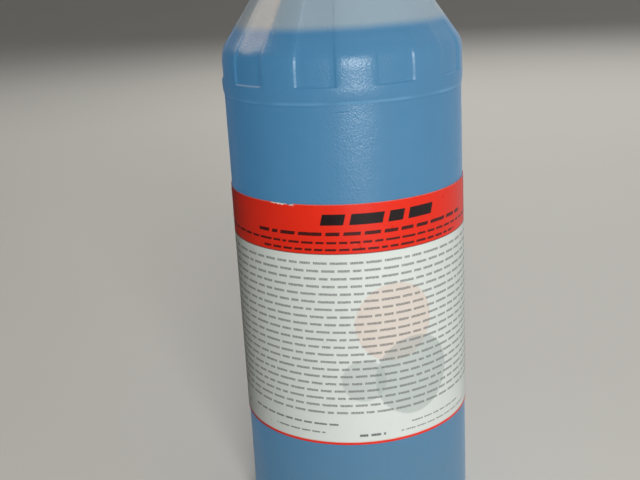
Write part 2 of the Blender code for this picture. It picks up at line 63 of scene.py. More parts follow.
RIM = box("bottle")[1].z
LIQUID_HIGH = box("liquid")[1]
LIQUID_LEVEL = LIQUID_HIGH.z
LABEL_LOW, LABEL_HIGH = box("label")
LABEL_BOTTOM = LABEL_LOW.z
LABEL_TOP = LABEL_HIGH.z
CAP_LOW, CAP_HIGH = box("screw_cap")
INSERT_LOW, INSERT_HIGH = box("spout_insert")
TUBE_RADIUS = box("dip_tube")[1].x

# ---- bottle sizes

CLEARANCE = 0.3
WALL = 1.2
BELT_RADIUS = LIQUID_HIGH.x + WALL + CLEARANCE
PANEL_RADIUS = BELT_RADIUS - 0.5
PANEL_TOP = LABEL_TOP + 33.5
BELT_BOTTOM = PANEL_TOP + 3.0
BELT_TOP = BELT_BOTTOM + 12.6
BELT_TOP_RADIUS = BELT_RADIUS - 0.3
BELT_LEAN = 0.02
CORNER_RADIUS = 5.0
CONE_HALF_ANGLE = radians(34.2)
CORNER_TANGENT = CORNER_RADIUS * tan(CONE_HALF_ANGLE / 2)

# The step from the panel out to the belt: the crease, then the turn into the belt
CREASE_HALF = 0.3
CREASE_PROUD = 0.12
STEP_BEND_BELOW = 0.8
STEP_BEND_ABOVE = 1.6

# Outside, the belt turns softly first and then through a tighter corner into the cone
BELT_SOFT_TURN = radians(10.5)
BELT_SOFT_LENGTH = 3.2
BELT_SOFT_REACH = 1.5
UPPER_BEND_HEIGHT = BELT_TOP + 0.45
CORNER_REACH = 1.6

HEEL_RADIUS = 5.0
RING_OUTER = PANEL_RADIUS - HEEL_RADIUS
RING_INNER = RING_OUTER - 3.0
PUSH_UP = 3.5
NECK_RADIUS = 17.5
NECK_BORE = 16.0
CONE_TOP = BELT_TOP + (BELT_TOP_RADIUS - NECK_RADIUS) / tan(CONE_HALF_ANGLE)
NECK_FILLET = 2.0
COLLAR_PROUD = 2.2
COLLAR_HEIGHT = 1.8
COLLAR_TOP = CONE_TOP + NECK_FILLET + COLLAR_HEIGHT
COLLAR_ROUND = 0.4
RIM_ROUND = 0.375
BORE_CHAMFER = 0.2

FLUTE_COUNT = 10
FLUTE_PITCH = 2 * pi / FLUTE_COUNT
FLUTE_HALF = radians(9.6)
FLUTE_MIDDLE = radians(-65.8)
FLUTE_SILL = BELT_BOTTOM + 2.3
FLUTE_RUN = 1.05
FLUTE_SILL_RUN = 0.6
FLUTE_BELT_DEPTH = 0.52
FLUTE_CONE_DEPTH = 0.12
FLUTE_TURN = BELT_TOP - 1.0
FLUTE_TURN_LENGTH = 5.0
FLUTE_FADE = CONE_TOP - 15.0
FLUTE_FADE_LENGTH = 7.0

# The slight unevenness of the blown wall, faded out at the heel and at the neck
WAVE_LENGTH = 38.0
WAVES_ROUND = 1.1
WAVE_HEIGHT = 0.06
RIPPLE_HEIGHT = 0.03
RIPPLE_SHARE = 2.3
WAVE_SINK = 0.05
WAVE_START = 8.0
WAVE_START_FADE = 12.0
WAVE_END_FADE = 10.0

THREAD_PITCH = 4.2
THREAD_HEIGHT = 1.2
THREAD_ROOT_HALF = 0.8
THREAD_CREST_HALF = 0.45
THREAD_RUN_OUT = radians(28.0)
NECK_THREAD_TURNS = 1.5
NECK_THREAD_START = RIM - 3.7 - THREAD_PITCH * NECK_THREAD_TURNS
CAP_THREAD_TURNS = 1.0
CAP_THREAD_START = NECK_THREAD_START - 1.6
CAP_BORE = NECK_RADIUS + THREAD_HEIGHT + CLEARANCE
CAP_THREAD_HEIGHT = CAP_BORE - NECK_RADIUS - 0.4

# ---- head sizes

CAP_SKIRT = CAP_LOW.z
CAP_TOP = CAP_HIGH.z
CAP_RADIUS = CAP_HIGH.x
CAP_CEILING = CAP_TOP - 2.2
CAP_EDGE = 1.4
CAP_RIBS = 48
CAP_RIB_DEPTH = 0.6
CAP_RIB_START = 0.8
CAP_RIB_END = 1.4
CAP_PLAIN_BAND = 1.2
CAP_DISH = 0.35
CAP_DISH_INNER = 1.6
CAP_DISH_OUTER = 3.6

PLUG_BOTTOM = INSERT_LOW.z
HUB_TOP = INSERT_HIGH.z
FLANGE_RADIUS = INSERT_HIGH.x
FLANGE_TOP = CAP_CEILING - CLEARANCE
FLANGE_BOTTOM = FLANGE_TOP - 1.8
PLUG_RADIUS = NECK_BORE - 3.0
PLUG_WALL = 1.5
GROOVE_ROOF = 1.5
SOCKET_RADIUS = TUBE_RADIUS + CLEARANCE
SOCKET_DEPTH = 8.0
BOSS_RADIUS = SOCKET_RADIUS + 1.6
BOSS_FLARE = 0.3
STEM_RADIUS = SOCKET_RADIUS + 3.4
STEM_TOP = CAP_TOP + 2.0

TUBE_BORE_RADIUS = 2.2
TUBE_EDGE = 0.3
TUBE_START = HUB_TOP - SOCKET_DEPTH + CLEARANCE
BEND_START = HUB_TOP + 18.0
BEND_RADIUS = 20.0
BEND_ANGLE = radians(115.0)
SPOUT_STRAIGHT = 40.0

# Along the spout's straight end, from where the bend stops
SLEEVE_RADIUS = SOCKET_RADIUS + 1.2
SLEEVE_START = SPOUT_STRAIGHT - 10.0
BEAD_HEIGHT = 0.22
TAPER_START = SPOUT_STRAIGHT + 2.0
NOZZLE_END = TAPER_START + 24.0
NOZZLE_TIP_RADIUS = 1.5
NOZZLE_WAIST = 0.45
JET_RADIUS = 0.7
TIP_CAP_MOUTH = NOZZLE_END - 9.0
TIP_CAP_WALL = 1.2
TIP_CAP_LIP = 0.8
STRAP_WIDTH = 4.0
STRAP_THICKNESS = 1.0
STRAP_BOW = 4.5
RING_START = 3.0
RING_WIDTH = 4.0
RING_WALL = 1.8

# Columns round each of the small pieces
COLUMNS_PER_RIB = 6
INSERT_COLUMNS = 96
TUBE_COLUMNS = 36
NOZZLE_COLUMNS = 48
RING_COLUMNS = 64
STRAP_COLUMNS = 16


# ---- shader arithmetic

# Places of the sockets that a Mix node uses for colours
MIX_SHARE, MIX_FIRST, MIX_SECOND, MIX_RESULT = 0, 6, 7, 2


def add_node(tree, kind, inputs, **settings):
    """A new shader node; each of its inputs is a number, a colour, a socket or a Value."""
    node = tree.nodes.new("ShaderNode" + kind)
    for name, setting in settings.items():
        setattr(node, name, setting)
    for place, given in inputs.items():
        if isinstance(given, Value):
            given = given.socket
        if isinstance(given, bpy.types.NodeSocket):
            tree.links.new(given, node.inputs[place])
        else:
            node.inputs[place].default_value = (*given, 1.0) if isinstance(given, tuple) else given
    return node


class Value:
    """A number that a shader works out at each point: arithmetic on it adds Math nodes."""

    def __init__(self, tree, socket):
        self.tree = tree
        self.socket = socket

    def math(self, operation, *others):
        terms = dict(enumerate((self, *others)))
        return Value(self.tree, add_node(self.tree, "Math", terms, operation=operation).outputs[0])

    __add__ = partialmethod(math, "ADD")
    __sub__ = partialmethod(math, "SUBTRACT")
    __mul__ = partialmethod(math, "MULTIPLY")
    __truediv__ = partialmethod(math, "DIVIDE")
    __neg__ = partialmethod(math, "MULTIPLY", -1.0)
    abs = partialmethod(math, "ABSOLUTE")
    floor = partialmethod(math, "FLOOR")
    fraction = partialmethod(math, "FRACT")
    min = partialmethod(math, "MINIMUM")
    max = partialmethod(math, "MAXIMUM")

    def __rsub__(self, other):
        return -self + other

    def hypot(self, other):
        """The long side of a right-angled triangle that has the two values as its short sides."""
        return (self * self + other * other).math("SQRT")

    def rise(self, low, high):
        """0 below low, 1 above high and smooth between; it falls where low is above high."""
        start, end = (0.0, 1.0) if low < high else (1.0, 0.0)
        span = {"From Min": min(low, high), "From Max": max(low, high), "To Min": start, "To Max": end}
        node = add_node(self.tree, "MapRange", {"Value": self, **span}, interpolation_type="SMOOTHSTEP")
        return Value(self.tree, node.outputs["Result"])

    def between(self, low, high, soft):
        """1 between low and high, with edges of width soft."""
        return self.rise(low - soft / 2, low + soft / 2) * self.rise(high + soft / 2, high - soft / 2)


class Surface:
    """A node material under construction, with the point's place in the frame, in millimetres."""

    def __init__(self, name):
        self.material = bpy.data.materials.new(name)
        self.material.use_nodes = True
        self.tree = self.material.node_tree
        self.shader = self.tree.nodes["Principled BSDF"]
        metres = self.add("TexCoord", {}).outputs["Object"]
        self.place = self.add("VectorMath", {0: metres, "Scale": 1 / MM}, operation="SCALE").outputs[0]
        split = self.add("SeparateXYZ", {0: self.place})
        self.x, self.y, self.z = (Value(self.tree, socket) for socket in split.outputs)

    def add(self, kind, inputs, **settings):
        return add_node(self.tree, kind, inputs, **settings)

    def set(self, **values):
        """Sets inputs that are the same all over, such as Coat_Weight=0.3."""
        for name, value in values.items():
            self.shader.inputs[name.replace("_", " ")].default_value = value

    def along(self, radius):
        """Arc length round the bottle's axis from the middle of the front, at a radius."""
        return self.x.math("ARCTAN2", -self.y) * radius

    def vector(self, x, y, z):
        return self.add("CombineXYZ", {0: x, 1: y, 2: z}).outputs[0]

    def noise(self, size, detail=2.0, roughness=0.5, vector=None):
        """Smooth noise about 0.5, with features of about the given size."""
        inputs = {"Vector": vector or self.place, "Scale": 1.0 / size}
        node = self.add("TexNoise", {**inputs, "Detail": detail, "Roughness": roughness})
        return Value(self.tree, node.outputs["Fac"])

    def from_edge(self, length, size):
        """How far a point on a line is from the ends of its stretch, for stretches of uneven length."""
        inputs = {"W": length / size, "Scale": 1.0}
        node = self.add("TexVoronoi", inputs, voronoi_dimensions="1D", feature="DISTANCE_TO_EDGE")
        return Value(self.tree, node.outputs["Distance"]) * size

    def cells(self, size):
        """Distance to the nearest of scattered points, in cell sizes."""
        node = self.add("TexVoronoi", {"Vector": self.place, "Scale": 1.0 / size})
        return Value(self.tree, node.outputs["Distance"])

    def mix(self, share, first, second):
        """first where share is 0, second where it is 1; each is a colour or a colour socket."""
        inputs = {MIX_SHARE: share, MIX_FIRST: first, MIX_SECOND: second}
        return self.add("Mix", inputs, data_type="RGBA").outputs[MIX_RESULT]

    def shade(self, colour, value):
        """A colour socket made lighter or darker by a value about 1."""
        grey = self.add("CombineColor", {0: value, 1: value, 2: value}).outputs[0]
        inputs = {MIX_SHARE: 1.0, MIX_FIRST: colour, MIX_SECOND: grey}
        return self.add("Mix", inputs, data_type="RGBA", blend_type="MULTIPLY").outputs[MIX_RESULT]

    def glow(self, colour):
        """Painted light: light scattered in the material, given as an emission of this colour."""
        self.tree.links.new(colour, self.shader.inputs["Emission Color"])
        self.set(Emission_Strength=1.0)

    def finish(self, colour, roughness, height=None):
        """Links the colour, the roughness and the height of the bumps to the shader."""
        self.tree.links.new(colour, self.shader.inputs["Base Color"])
        self.tree.links.new(roughness.socket, self.shader.inputs["Roughness"])
        if height:
            bump = self.add("Bump", {"Strength": 1.0, "Distance": MM, "Height": height})
            self.tree.links.new(bump.outputs[0], self.shader.inputs["Normal"])
        return self.material


def srgb(red, green, blue):
    """A linear colour from display values of 0 to 255."""
    linear = []
    for value in (red, green, blue):
        share = value / 255
        linear.append(share / 12.92 if share <= 0.04045 else ((share + 0.055) / 1.055) ** 2.4)
    return tuple(linear)


# ---- mesh building

# How much of a side one fillet takes at most, so that the two on it never meet
FILLET_SHARE = 0.48
SMOOTH_TO = radians(40.0)


def s_curve(share):
    share = min(1.0, max(0.0, share))
    return share * share * (3 - 2 * share)


def shares(steps):
    """Even steps from 0 to 1, both included."""
    return [step / steps for step in range(steps + 1)]


def even_angles(count):
    return [2 * pi * share for share in shares(count)[:-1]]


def arc(centre, radius, start, end, steps):
    """Points of an arc in the profile plane, both ends included."""
    angles = [start + (end - start) * share for share in shares(steps)]
    return [(centre[0] + radius * cos(angle), centre[1] + radius * sin(angle)) for angle in angles]


def line(start, end, steps):
    """Points of a straight line, without its first one."""
    return [tuple(a + (b - a) * share for a, b in zip(start, end)) for share in shares(steps)[1:]]


def bend(start, corner, end, steps):
    """Points of a smooth turn from start to end that aims at the corner, without its first one."""
    points = []
    for share in shares(steps)[1:]:
        pulls = ((start, (1 - share) ** 2), (corner, 2 * share * (1 - share)), (end, share * share))
        points.append(tuple(sum(point[axis] * pull for point, pull in pulls) for axis in (0, 1)))
    return points


def filleted(points, steps=4):
    """A profile from (radius, height, fillet) corners, with each corner rounded off."""
    smooth = [tuple(points[0][:2])]
    for before, corner, after in zip(points, points[1:], points[2:]):
        middle = Vector(corner[:2])
        into = middle - Vector(before[:2])
        out = Vector(after[:2]) - middle
        reach = min(corner[2], into.length * FILLET_SHARE, out.length * FILLET_SHARE)
        start = middle - into.normalized() * reach
        end = middle + out.normalized() * reach
        smooth.append(tuple(start))
        smooth += bend(start, middle, end, steps)
    smooth.append(tuple(points[-1][:2]))
    return smooth


def spaced(rows, upright, level):
    """The profile with its long stretches divided, closer on upright ones than on level ones."""
    fine = [rows[0]]
    for start, end in zip(rows, rows[1:]):
        across, up = abs(end[0] - start[0]), abs(end[1] - start[1])
        most = upright if up > across else level
        fine += line(start, end, max(1, ceil(hypot(across, up) / most)))
    return fine


def mesh_object(name, verts, faces, material, sharp=SMOOTH_TO):
    """A piece from points and faces, its faces turned outwards and its round stretches smooth."""
    mesh = bpy.data.meshes.new(name)
    mesh.from_pydata([Vector(vert) * MM for vert in verts], [], faces)
    mesh.validate()
    work = bmesh.new()
    work.from_mesh(mesh)
    bmesh.ops.recalc_face_normals(work, faces=work.faces)
    work.to_mesh(mesh)
    work.free()
    mesh.shade_smooth()
    mesh.set_sharp_from_angle(angle=sharp)
    mesh.materials.append(material)
    made = bpy.data.objects.new(name, mesh)
    bpy.context.scene.collection.objects.link(made)
    return made


def skin(name, rings, material, lengthwise=False, sharp=SMOOTH_TO):
    """A piece whose rings of points are closed on themselves and joined one to the next.

    lengthwise joins the last ring to the first; otherwise each end is closed with one face.  A
    ring of one point is a pole.
    """
    verts = []
    index = []
    for ring in rings:
        index.append(list(range(len(verts), len(verts) + len(ring))))
        verts += ring
    faces = []
    pairs = list(zip(index, index[1:]))
    if lengthwise:
        pairs.append((index[-1], index[0]))
    for near, far in pairs:
        count = max(len(near), len(far))
        for i in range(count):
            after = (i + 1) % count
            near_side = (near[i % len(near)], near[after % len(near)])
            far_side = (far[after % len(far)], far[i % len(far)])
            faces.append(tuple(dict.fromkeys(near_side + far_side)))
    if not lengthwise:
        faces += [tuple(end) for end in (index[0], index[-1]) if len(end) > 2]
    return mesh_object(name, verts, faces, material, sharp)


def turned(name, rows, angles, material, relief=None, ring_shaped=False, sharp=SMOOTH_TO):
    """A turned piece from (radius, height) rows; relief(angle, radius, height) presses it in."""
    rings = []
    for radius, height in rows:
        if radius == 0.0:
            rings.append([(0.0, 0.0, height)])
            continue
        ring = []
        for angle in angles:
            reach = radius - relief(angle, radius, height) if relief else radius
            ring.append((reach * cos(angle), reach * sin(angle), height))
        rings.append(ring)
    return skin(name, rings, material, ring_shaped, sharp)


def unite(piece, extras):
    """Joins the extras to the piece, as one closed body."""
    for extra in extras:
        modifier = piece.modifiers.new("join_" + extra.name, "BOOLEAN")
        modifier.operation = "UNION"
        modifier.solver = "EXACT"
        modifier.object = extra
    bpy.context.view_layer.update()
    evaluated = piece.evaluated_get(bpy.context.evaluated_depsgraph_get())
    joined = bpy.data.meshes.new_from_object(evaluated)
    joined.shade_smooth()
    joined.set_sharp_from_angle(angle=radians(35.0))
    piece.modifiers.clear()
    piece.data = joined
    for extra in extras:
        bpy.data.objects.remove(extra, do_unlink=True)


# ---- bottle

def cone_radius(height):
    return NECK_RADIUS + (CONE_TOP - height) * tan(CONE_HALF_ANGLE)


def thread_share(angle, height, start, turns):
    """How far a point stands on a helical ridge, from 0 beside it to 1 on its crest."""
    best = 0.0
    winding = angle % (2 * pi)
    while winding <= turns * 2 * pi:
        distance = abs(height - start - THREAD_PITCH * winding / (2 * pi))
        share = (THREAD_ROOT_HALF - distance) / (THREAD_ROOT_HALF - THREAD_CREST_HALF)
        from_end = min(winding, turns * 2 * pi - winding)
        best = max(best, min(1.0, share) * s_curve(from_end / THREAD_RUN_OUT))
        winding += 2 * pi
    return best


def flute_press(angle, radius, height):
    """How far a point lies pressed in by the flutes: a sunk pocket on the belt, a flat on the cone."""
    above_sill = s_curve((height - FLUTE_SILL) / FLUTE_SILL_RUN)
    rise = above_sill * (1 - s_curve((height - FLUTE_FADE) / FLUTE_FADE_LENGTH))
    offset = (angle - FLUTE_MIDDLE + FLUTE_PITCH / 2) % FLUTE_PITCH - FLUTE_PITCH / 2
    edge = FLUTE_HALF - abs(offset)
    if rise <= 0 or edge <= 0:
        return 0.0
    step = s_curve(edge * PANEL_RADIUS / FLUTE_RUN)
    cone = s_curve((height - FLUTE_TURN) / FLUTE_TURN_LENGTH)
    depth = FLUTE_BELT_DEPTH + (FLUTE_CONE_DEPTH - FLUTE_BELT_DEPTH) * cone
    flat = cone * radius * (1 - cos(FLUTE_HALF) / cos(offset))
    return rise * (step * depth + flat)


def wall_waviness(angle, height):
    place = Vector((cos(angle) * WAVES_ROUND, sin(angle) * WAVES_ROUND, height / WAVE_LENGTH))
    return WAVE_HEIGHT * noise.noise(place) + RIPPLE_HEIGHT * noise.noise(place * RIPPLE_SHARE)


def bottle_relief(angle, radius, height):
    """What the outside has beside its profile: the neck's thread, the flutes and the waves."""
    in_bore = radius < NECK_BORE + 2 * BORE_CHAMFER
    in_body = height < BELT_TOP and radius < PANEL_RADIUS - WALL * 2 / 3
    if in_bore or in_body:
        return 0.0
    if height > COLLAR_TOP:
        return -THREAD_HEIGHT * thread_share(angle, height, NECK_THREAD_START, NECK_THREAD_TURNS)
    steady = s_curve((height - WAVE_START) / WAVE_START_FADE) * s_curve((CONE_TOP - height) / WAVE_END_FADE)
    return flute_press(angle, radius, height) + steady * (wall_waviness(angle, height) + WAVE_SINK)


def dome_rows(reach, thickness, steps):
    """The pushed-up base from its middle outwards, up to a share of the way to its ring."""
    return [
        (RING_INNER * share * reach, PUSH_UP * (1 - (share * reach) ** 3) + thickness)
        for share in shares(steps)
    ]


def bottle_outer_rows():
    """The outside from the middle of the base up to the edge of the rim."""
    rows = dome_rows(1.0, 0.0, 12)

    def go(end, steps):
        rows.extend(line(rows[-1], end, steps))

    def turn(corner, end, steps):
        rows.extend(bend(rows[-1], corner, end, steps))

    go((RING_OUTER, 0.0), 2)
    rows += arc((RING_OUTER, HEEL_RADIUS), HEEL_RADIUS, -pi / 2, 0.0, 10)[1:]
    go((PANEL_RADIUS, PANEL_TOP - CREASE_HALF), 42)
    turn((PANEL_RADIUS, PANEL_TOP), (PANEL_RADIUS + CREASE_PROUD, PANEL_TOP + CREASE_HALF), 4)
    turn((BELT_RADIUS, BELT_BOTTOM - STEP_BEND_BELOW), (BELT_RADIUS, BELT_BOTTOM + STEP_BEND_ABOVE), 6)
    go((BELT_RADIUS - BELT_LEAN, FLUTE_SILL), 2)
    go((BELT_RADIUS - 2 * BELT_LEAN, FLUTE_SILL + FLUTE_SILL_RUN), 5)
    soft_turn = Vector((-sin(BELT_SOFT_TURN), cos(BELT_SOFT_TURN)))
    upper_bend = Vector((cone_radius(UPPER_BEND_HEIGHT), UPPER_BEND_HEIGHT))
    lower_bend = upper_bend - soft_turn * BELT_SOFT_LENGTH
    go((lower_bend.x, lower_bend.y - BELT_SOFT_REACH), 7)
    turn(lower_bend, lower_bend + soft_turn * BELT_SOFT_REACH, 8)
    go(upper_bend - soft_turn * CORNER_REACH, 1)
    turn(upper_bend, (cone_radius(UPPER_BEND_HEIGHT + CORNER_REACH), UPPER_BEND_HEIGHT + CORNER_REACH), 7)
    fillet = NECK_FILLET * tan((pi / 2 - CONE_HALF_ANGLE) / 2)
    go((cone_radius(CONE_TOP - fillet), CONE_TOP - fillet), 26)
    turn((NECK_RADIUS, CONE_TOP), (NECK_RADIUS, CONE_TOP + NECK_FILLET), 6)
    collar = NECK_RADIUS + COLLAR_PROUD
    collar_bottom = COLLAR_TOP - COLLAR_HEIGHT
    turn((collar, collar_bottom), (collar, collar_bottom + COLLAR_HEIGHT / 2), 5)
    turn((collar, COLLAR_TOP), (NECK_RADIUS + COLLAR_ROUND, COLLAR_TOP), 5)
    turn((NECK_RADIUS, COLLAR_TOP), (NECK_RADIUS, COLLAR_TOP + COLLAR_ROUND), 3)
    go((NECK_RADIUS, RIM - RIM_ROUND), 50)
    turn((NECK_RADIUS, RIM), (NECK_RADIUS - RIM_ROUND, RIM), 4)
    return rows


def bottle_inner_rows():
    """The inside from the bore at the rim down to the middle of the floor."""
    cone_drop = (NECK_RADIUS - NECK_BORE - WALL / cos(CONE_HALF_ANGLE)) / tan(CONE_HALF_ANGLE)
    rows = [
        (NECK_BORE + BORE_CHAMFER, RIM),
        (NECK_BORE, RIM - BORE_CHAMFER),
        (NECK_BORE, CONE_TOP + cone_drop),
    ]
    corner_centre = (BELT_TOP_RADIUS - CORNER_RADIUS, BELT_TOP - CORNER_TANGENT)
    rows += arc(corner_centre, CORNER_RADIUS - WALL, 0.0, CONE_HALF_ANGLE, 5)[::-1]
    rows += [(BELT_RADIUS - WALL, BELT_BOTTOM), (PANEL_RADIUS - WALL, PANEL_TOP)]
    rows += arc((RING_OUTER, HEEL_RADIUS), HEEL_RADIUS - WALL, -pi / 2, 0.0, 6)[::-1]
    rows += dome_rows(0.9, WALL, 5)[::-1]
    return rows


def bottle_angles():
    """Columns close together on each side wall of each flute, and wider apart between."""
    run = FLUTE_RUN / PANEL_RADIUS
    stops = (-FLUTE_HALF, run - FLUTE_HALF, FLUTE_HALF - run, FLUTE_HALF, FLUTE_PITCH - FLUTE_HALF)
    wall_steps, field_steps = 4, 7
    angles = []
    for flute in range(FLUTE_COUNT):
        middle = FLUTE_MIDDLE + flute * FLUTE_PITCH
        for start, end, steps in zip(stops, stops[1:], (wall_steps, field_steps) * 2):
            angles += [middle + start + (end - start) * share for share in shares(steps)[:-1]]
    return angles


# Colours of the filled body, the body above the liquid, the bare neck, and the marks on them: the grey of
# the painted haze, the painted highlight on the crease and the scuff
FILLED_BLUE = srgb(79, 115, 136)
FILLED_DEEP = srgb(71, 106, 128)
VAPOUR_GREY = srgb(136, 156, 169)
NECK_WHITE = srgb(172, 180, 182)
HAZE_GREY = srgb(80, 96, 102)
CREASE_HIGHLIGHT_PALE = srgb(126, 170, 196)
SCUFF_DARK = srgb(40, 70, 96)

# Painted light, given as emission: the light that the milky wall and the contents scatter on to their
# shaded side, and the glow of the painted haze, as linear colours
FILLED_GLOW = (0.002, 0.066, 0.163)
VAPOUR_GLOW = (0.040, 0.048, 0.052)
HAZE_GLOW = (0.050, 0.098, 0.145)

# Where the colours change up the body: blue to grey, grey to neck, wetted film, the painted highlight on
# the crease and the painted shade under it, the painted haze low on the body
LEVEL_SOFT = 1.7
LEVEL_DRIFT = 0.8
NECK_PALE = (LIQUID_LEVEL + 8.0, CONE_TOP + 6.0)
FILM = (LIQUID_LEVEL - 3.2, LIQUID_LEVEL - 1.2, 2.0)
CREASE_LIGHT_HEIGHT = PANEL_TOP + 0.3
CREASE_LIGHT_HALF = (0.80, 0.10)
CREASE_DARK_HEIGHT = PANEL_TOP - 0.5
CREASE_DARK_HALF = (0.50, 0.08)
HAZE_HEIGHTS = (85.0, 12.0)
SCUFF_ALONG = (-3.0, 2.0, 0.8)
SCUFF_HEIGHT = PANEL_TOP - 2.6
SCUFF_HALF = (0.32, 0.12)
SCUFF_RAGGED = (2.5, 0.5)

# How strongly each mark shows
FILM_SHADE, CREASE_LIGHT, CREASE_SHADE = 0.06, 0.34, 0.10
HAZE_GREY_SHARE, HAZE_EMISSION_SHARE, SCUFF_COLOUR = 0.55, 0.80, 0.45

PEBBLE_SIZE, PEBBLE_HEIGHT = 0.80, 0.115
GRAIN_SIZE, GRAIN_HEIGHT = 1.9, 0.040
SCUFF_DEPTH = 0.03
BODY_ROUGHNESS = 0.32


def polyethylene():
    """Milky blown plastic: blue where the liquid stands behind it, pale grey above the level."""
    surface = Surface("blown_polyethylene")
    drift = surface.noise(30, detail=1.0)
    cloud = surface.noise(9, detail=3.0)
    level = surface.z + (drift - 0.5) * LEVEL_DRIFT
    above = level.rise(LIQUID_LEVEL - LEVEL_SOFT, LIQUID_LEVEL + LEVEL_SOFT)
    filled = surface.mix(cloud * 0.5 + drift * 0.3, FILLED_BLUE, FILLED_DEEP)
    vapour = surface.mix(surface.z.rise(*NECK_PALE), VAPOUR_GREY, NECK_WHITE)
    colour = surface.mix(above, filled, vapour)
    colour = surface.shade(colour, level.between(*FILM) * -FILM_SHADE + 1.0)

    # Painted highlight: a pale line along the crease above the panel, where the step catches the light
    wander = surface.noise(14, detail=1.0).rise(0.25, 0.70)
    crease = (surface.z - CREASE_LIGHT_HEIGHT).abs().rise(*CREASE_LIGHT_HALF)
    colour = surface.mix(crease * wander * CREASE_LIGHT, colour, CREASE_HIGHLIGHT_PALE)
    # Painted shade: a darker line just under the crease
    shade_under_crease = (surface.z - CREASE_DARK_HEIGHT).abs().rise(*CREASE_DARK_HALF)
    colour = surface.shade(colour, shade_under_crease * -CREASE_SHADE + 1.0)

    # Painted haze: the lower body is greyed and given a pale glow, standing in for a reflection of pale
    # surroundings
    mottle = surface.z.rise(*HAZE_HEIGHTS) * (cloud * 0.5 + 0.45)
    colour = surface.mix(mottle * HAZE_GREY_SHARE, colour, HAZE_GREY)
    # Painted light: an emission that lights the shaded side, with more glow where the painted haze is
    glow = surface.mix(above, FILLED_GLOW, VAPOUR_GLOW)
    surface.glow(surface.mix(mottle * HAZE_EMISSION_SHARE, glow, HAZE_GLOW))

    along = surface.along(PANEL_RADIUS)
    ragged = surface.noise(1.4, detail=2.0) - 0.5
    ragged_along, ragged_up = (ragged * size for size in SCUFF_RAGGED)
    scuff = (surface.z - SCUFF_HEIGHT + ragged_up).abs().rise(*SCUFF_HALF)
    scuff = scuff * (along + ragged_along).between(*SCUFF_ALONG)
    colour = surface.mix(scuff * SCUFF_COLOUR, colour, SCUFF_DARK)

    pebble = surface.noise(PEBBLE_SIZE, detail=2.5, roughness=0.65)
    grain = surface.noise(GRAIN_SIZE, detail=2.0)
    rubs = surface.noise(6, detail=4.0, roughness=0.65)
    roughness = (rubs - 0.5) * 0.14 + BODY_ROUGHNESS
    height = pebble * PEBBLE_HEIGHT + grain * GRAIN_HEIGHT - scuff * SCUFF_DEPTH
    surface.set(IOR=1.54, Specular_IOR_Level=0.36, Sheen_Weight=0.22, Sheen_Roughness=0.30)
    return surface.finish(colour, roughness, height)


def make_bottle():
    rows = bottle_outer_rows() + bottle_inner_rows()
    material = polyethylene()
    bottle = turned("bottle_body", rows, bottle_angles(), material, bottle_relief, sharp=radians(50.0))
    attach(bottle, "bottle_body")
    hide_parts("bottle")


# ---- label

LABEL_INNER = PANEL_RADIUS + 0.08
LABEL_OUTER = LABEL_INNER + 0.2
LABEL_WRAP = radians(262.0)
LABEL_MIDDLE = radians(10.0)
LABEL_CORNER = 3.0
LABEL_HALF_LENGTH = LABEL_OUTER * LABEL_WRAP / 2
LABEL_HALF_HEIGHT = (LABEL_TOP - LABEL_BOTTOM) / 2
LABEL_MIDDLE_ALONG = LABEL_OUTER * LABEL_MIDDLE
LABEL_MIDDLE_HEIGHT = (LABEL_TOP + LABEL_BOTTOM) / 2
LABEL_COLUMN = radians(0.8)
BAND_BOTTOM = LABEL_TOP - 17.45
OUTLINE_WIDTH = 0.9
PINK_WIDTH = 0.35
PRINT_RAGGED = 0.12
OUTLINE_SOFT = 0.15
BAND_SOFT = 0.1
BORDER_HALF = (0.30, 0.14)
TOP_EDGE = (LABEL_TOP - 0.30, LABEL_TOP - 0.12)
TORN_EDGE = (LABEL_TOP + 0.20, LABEL_TOP + 0.36)

LABEL_RED = srgb(228, 42, 20)
LABEL_RED_DARK = srgb(120, 22, 16)
LABEL_WHITE = srgb(219, 225, 220)
LABEL_WHITE_SHADE = srgb(213, 219, 214)
LABEL_PINK = srgb(226, 150, 138)
PRINT_BLACK = srgb(34, 24, 24)
PRINT_GREY = srgb(104, 108, 106)
TORN_PAPER = srgb(226, 218, 206)

# Torn chip in the label's top edge: (degrees from the front's middle, depth)
CHIP = (
    (-37.5, 0.0), (-35.5, 0.12), (-33.6, 0.04), (-31.8, 0.22),
    (-29.6, 0.12), (-27.8, 0.5), (-26.6, 0.2), (-25.6, 0.0),
)
CHIP_JAG = 0.12
CHIP_JAG_SIZE = 1.7
CHIP_PRINT = (radians(-37.0) * LABEL_OUTER, radians(-25.6) * LABEL_OUTER, 2.0)
TEAR_RAGGED = 1.7

# The even rows of the white field
ROW_TOP = BAND_BOTTOM - 1.9
ROW_PITCH = 2.82
ROW_COUNT = 21
ROW_THICKNESS = 0.88
ROW_DASH = 5.6
ROW_EVENNESS = 0.55
ROW_STRENGTH = 0.84
ROW_HALF_LENGTH = 74.0
ROW_END_SPARE = 8.0
ROW_END_DRIFT = 30.0
ROW_END_SOFT = 0.4

# Dashes: how soft their edges are, how far each row is shifted, and the grain of their ink
DASH_SOFT = 0.10
DASH_SHIFT = 61.7
INK_LENGTH, INK_HEIGHT = 0.42, 1.2

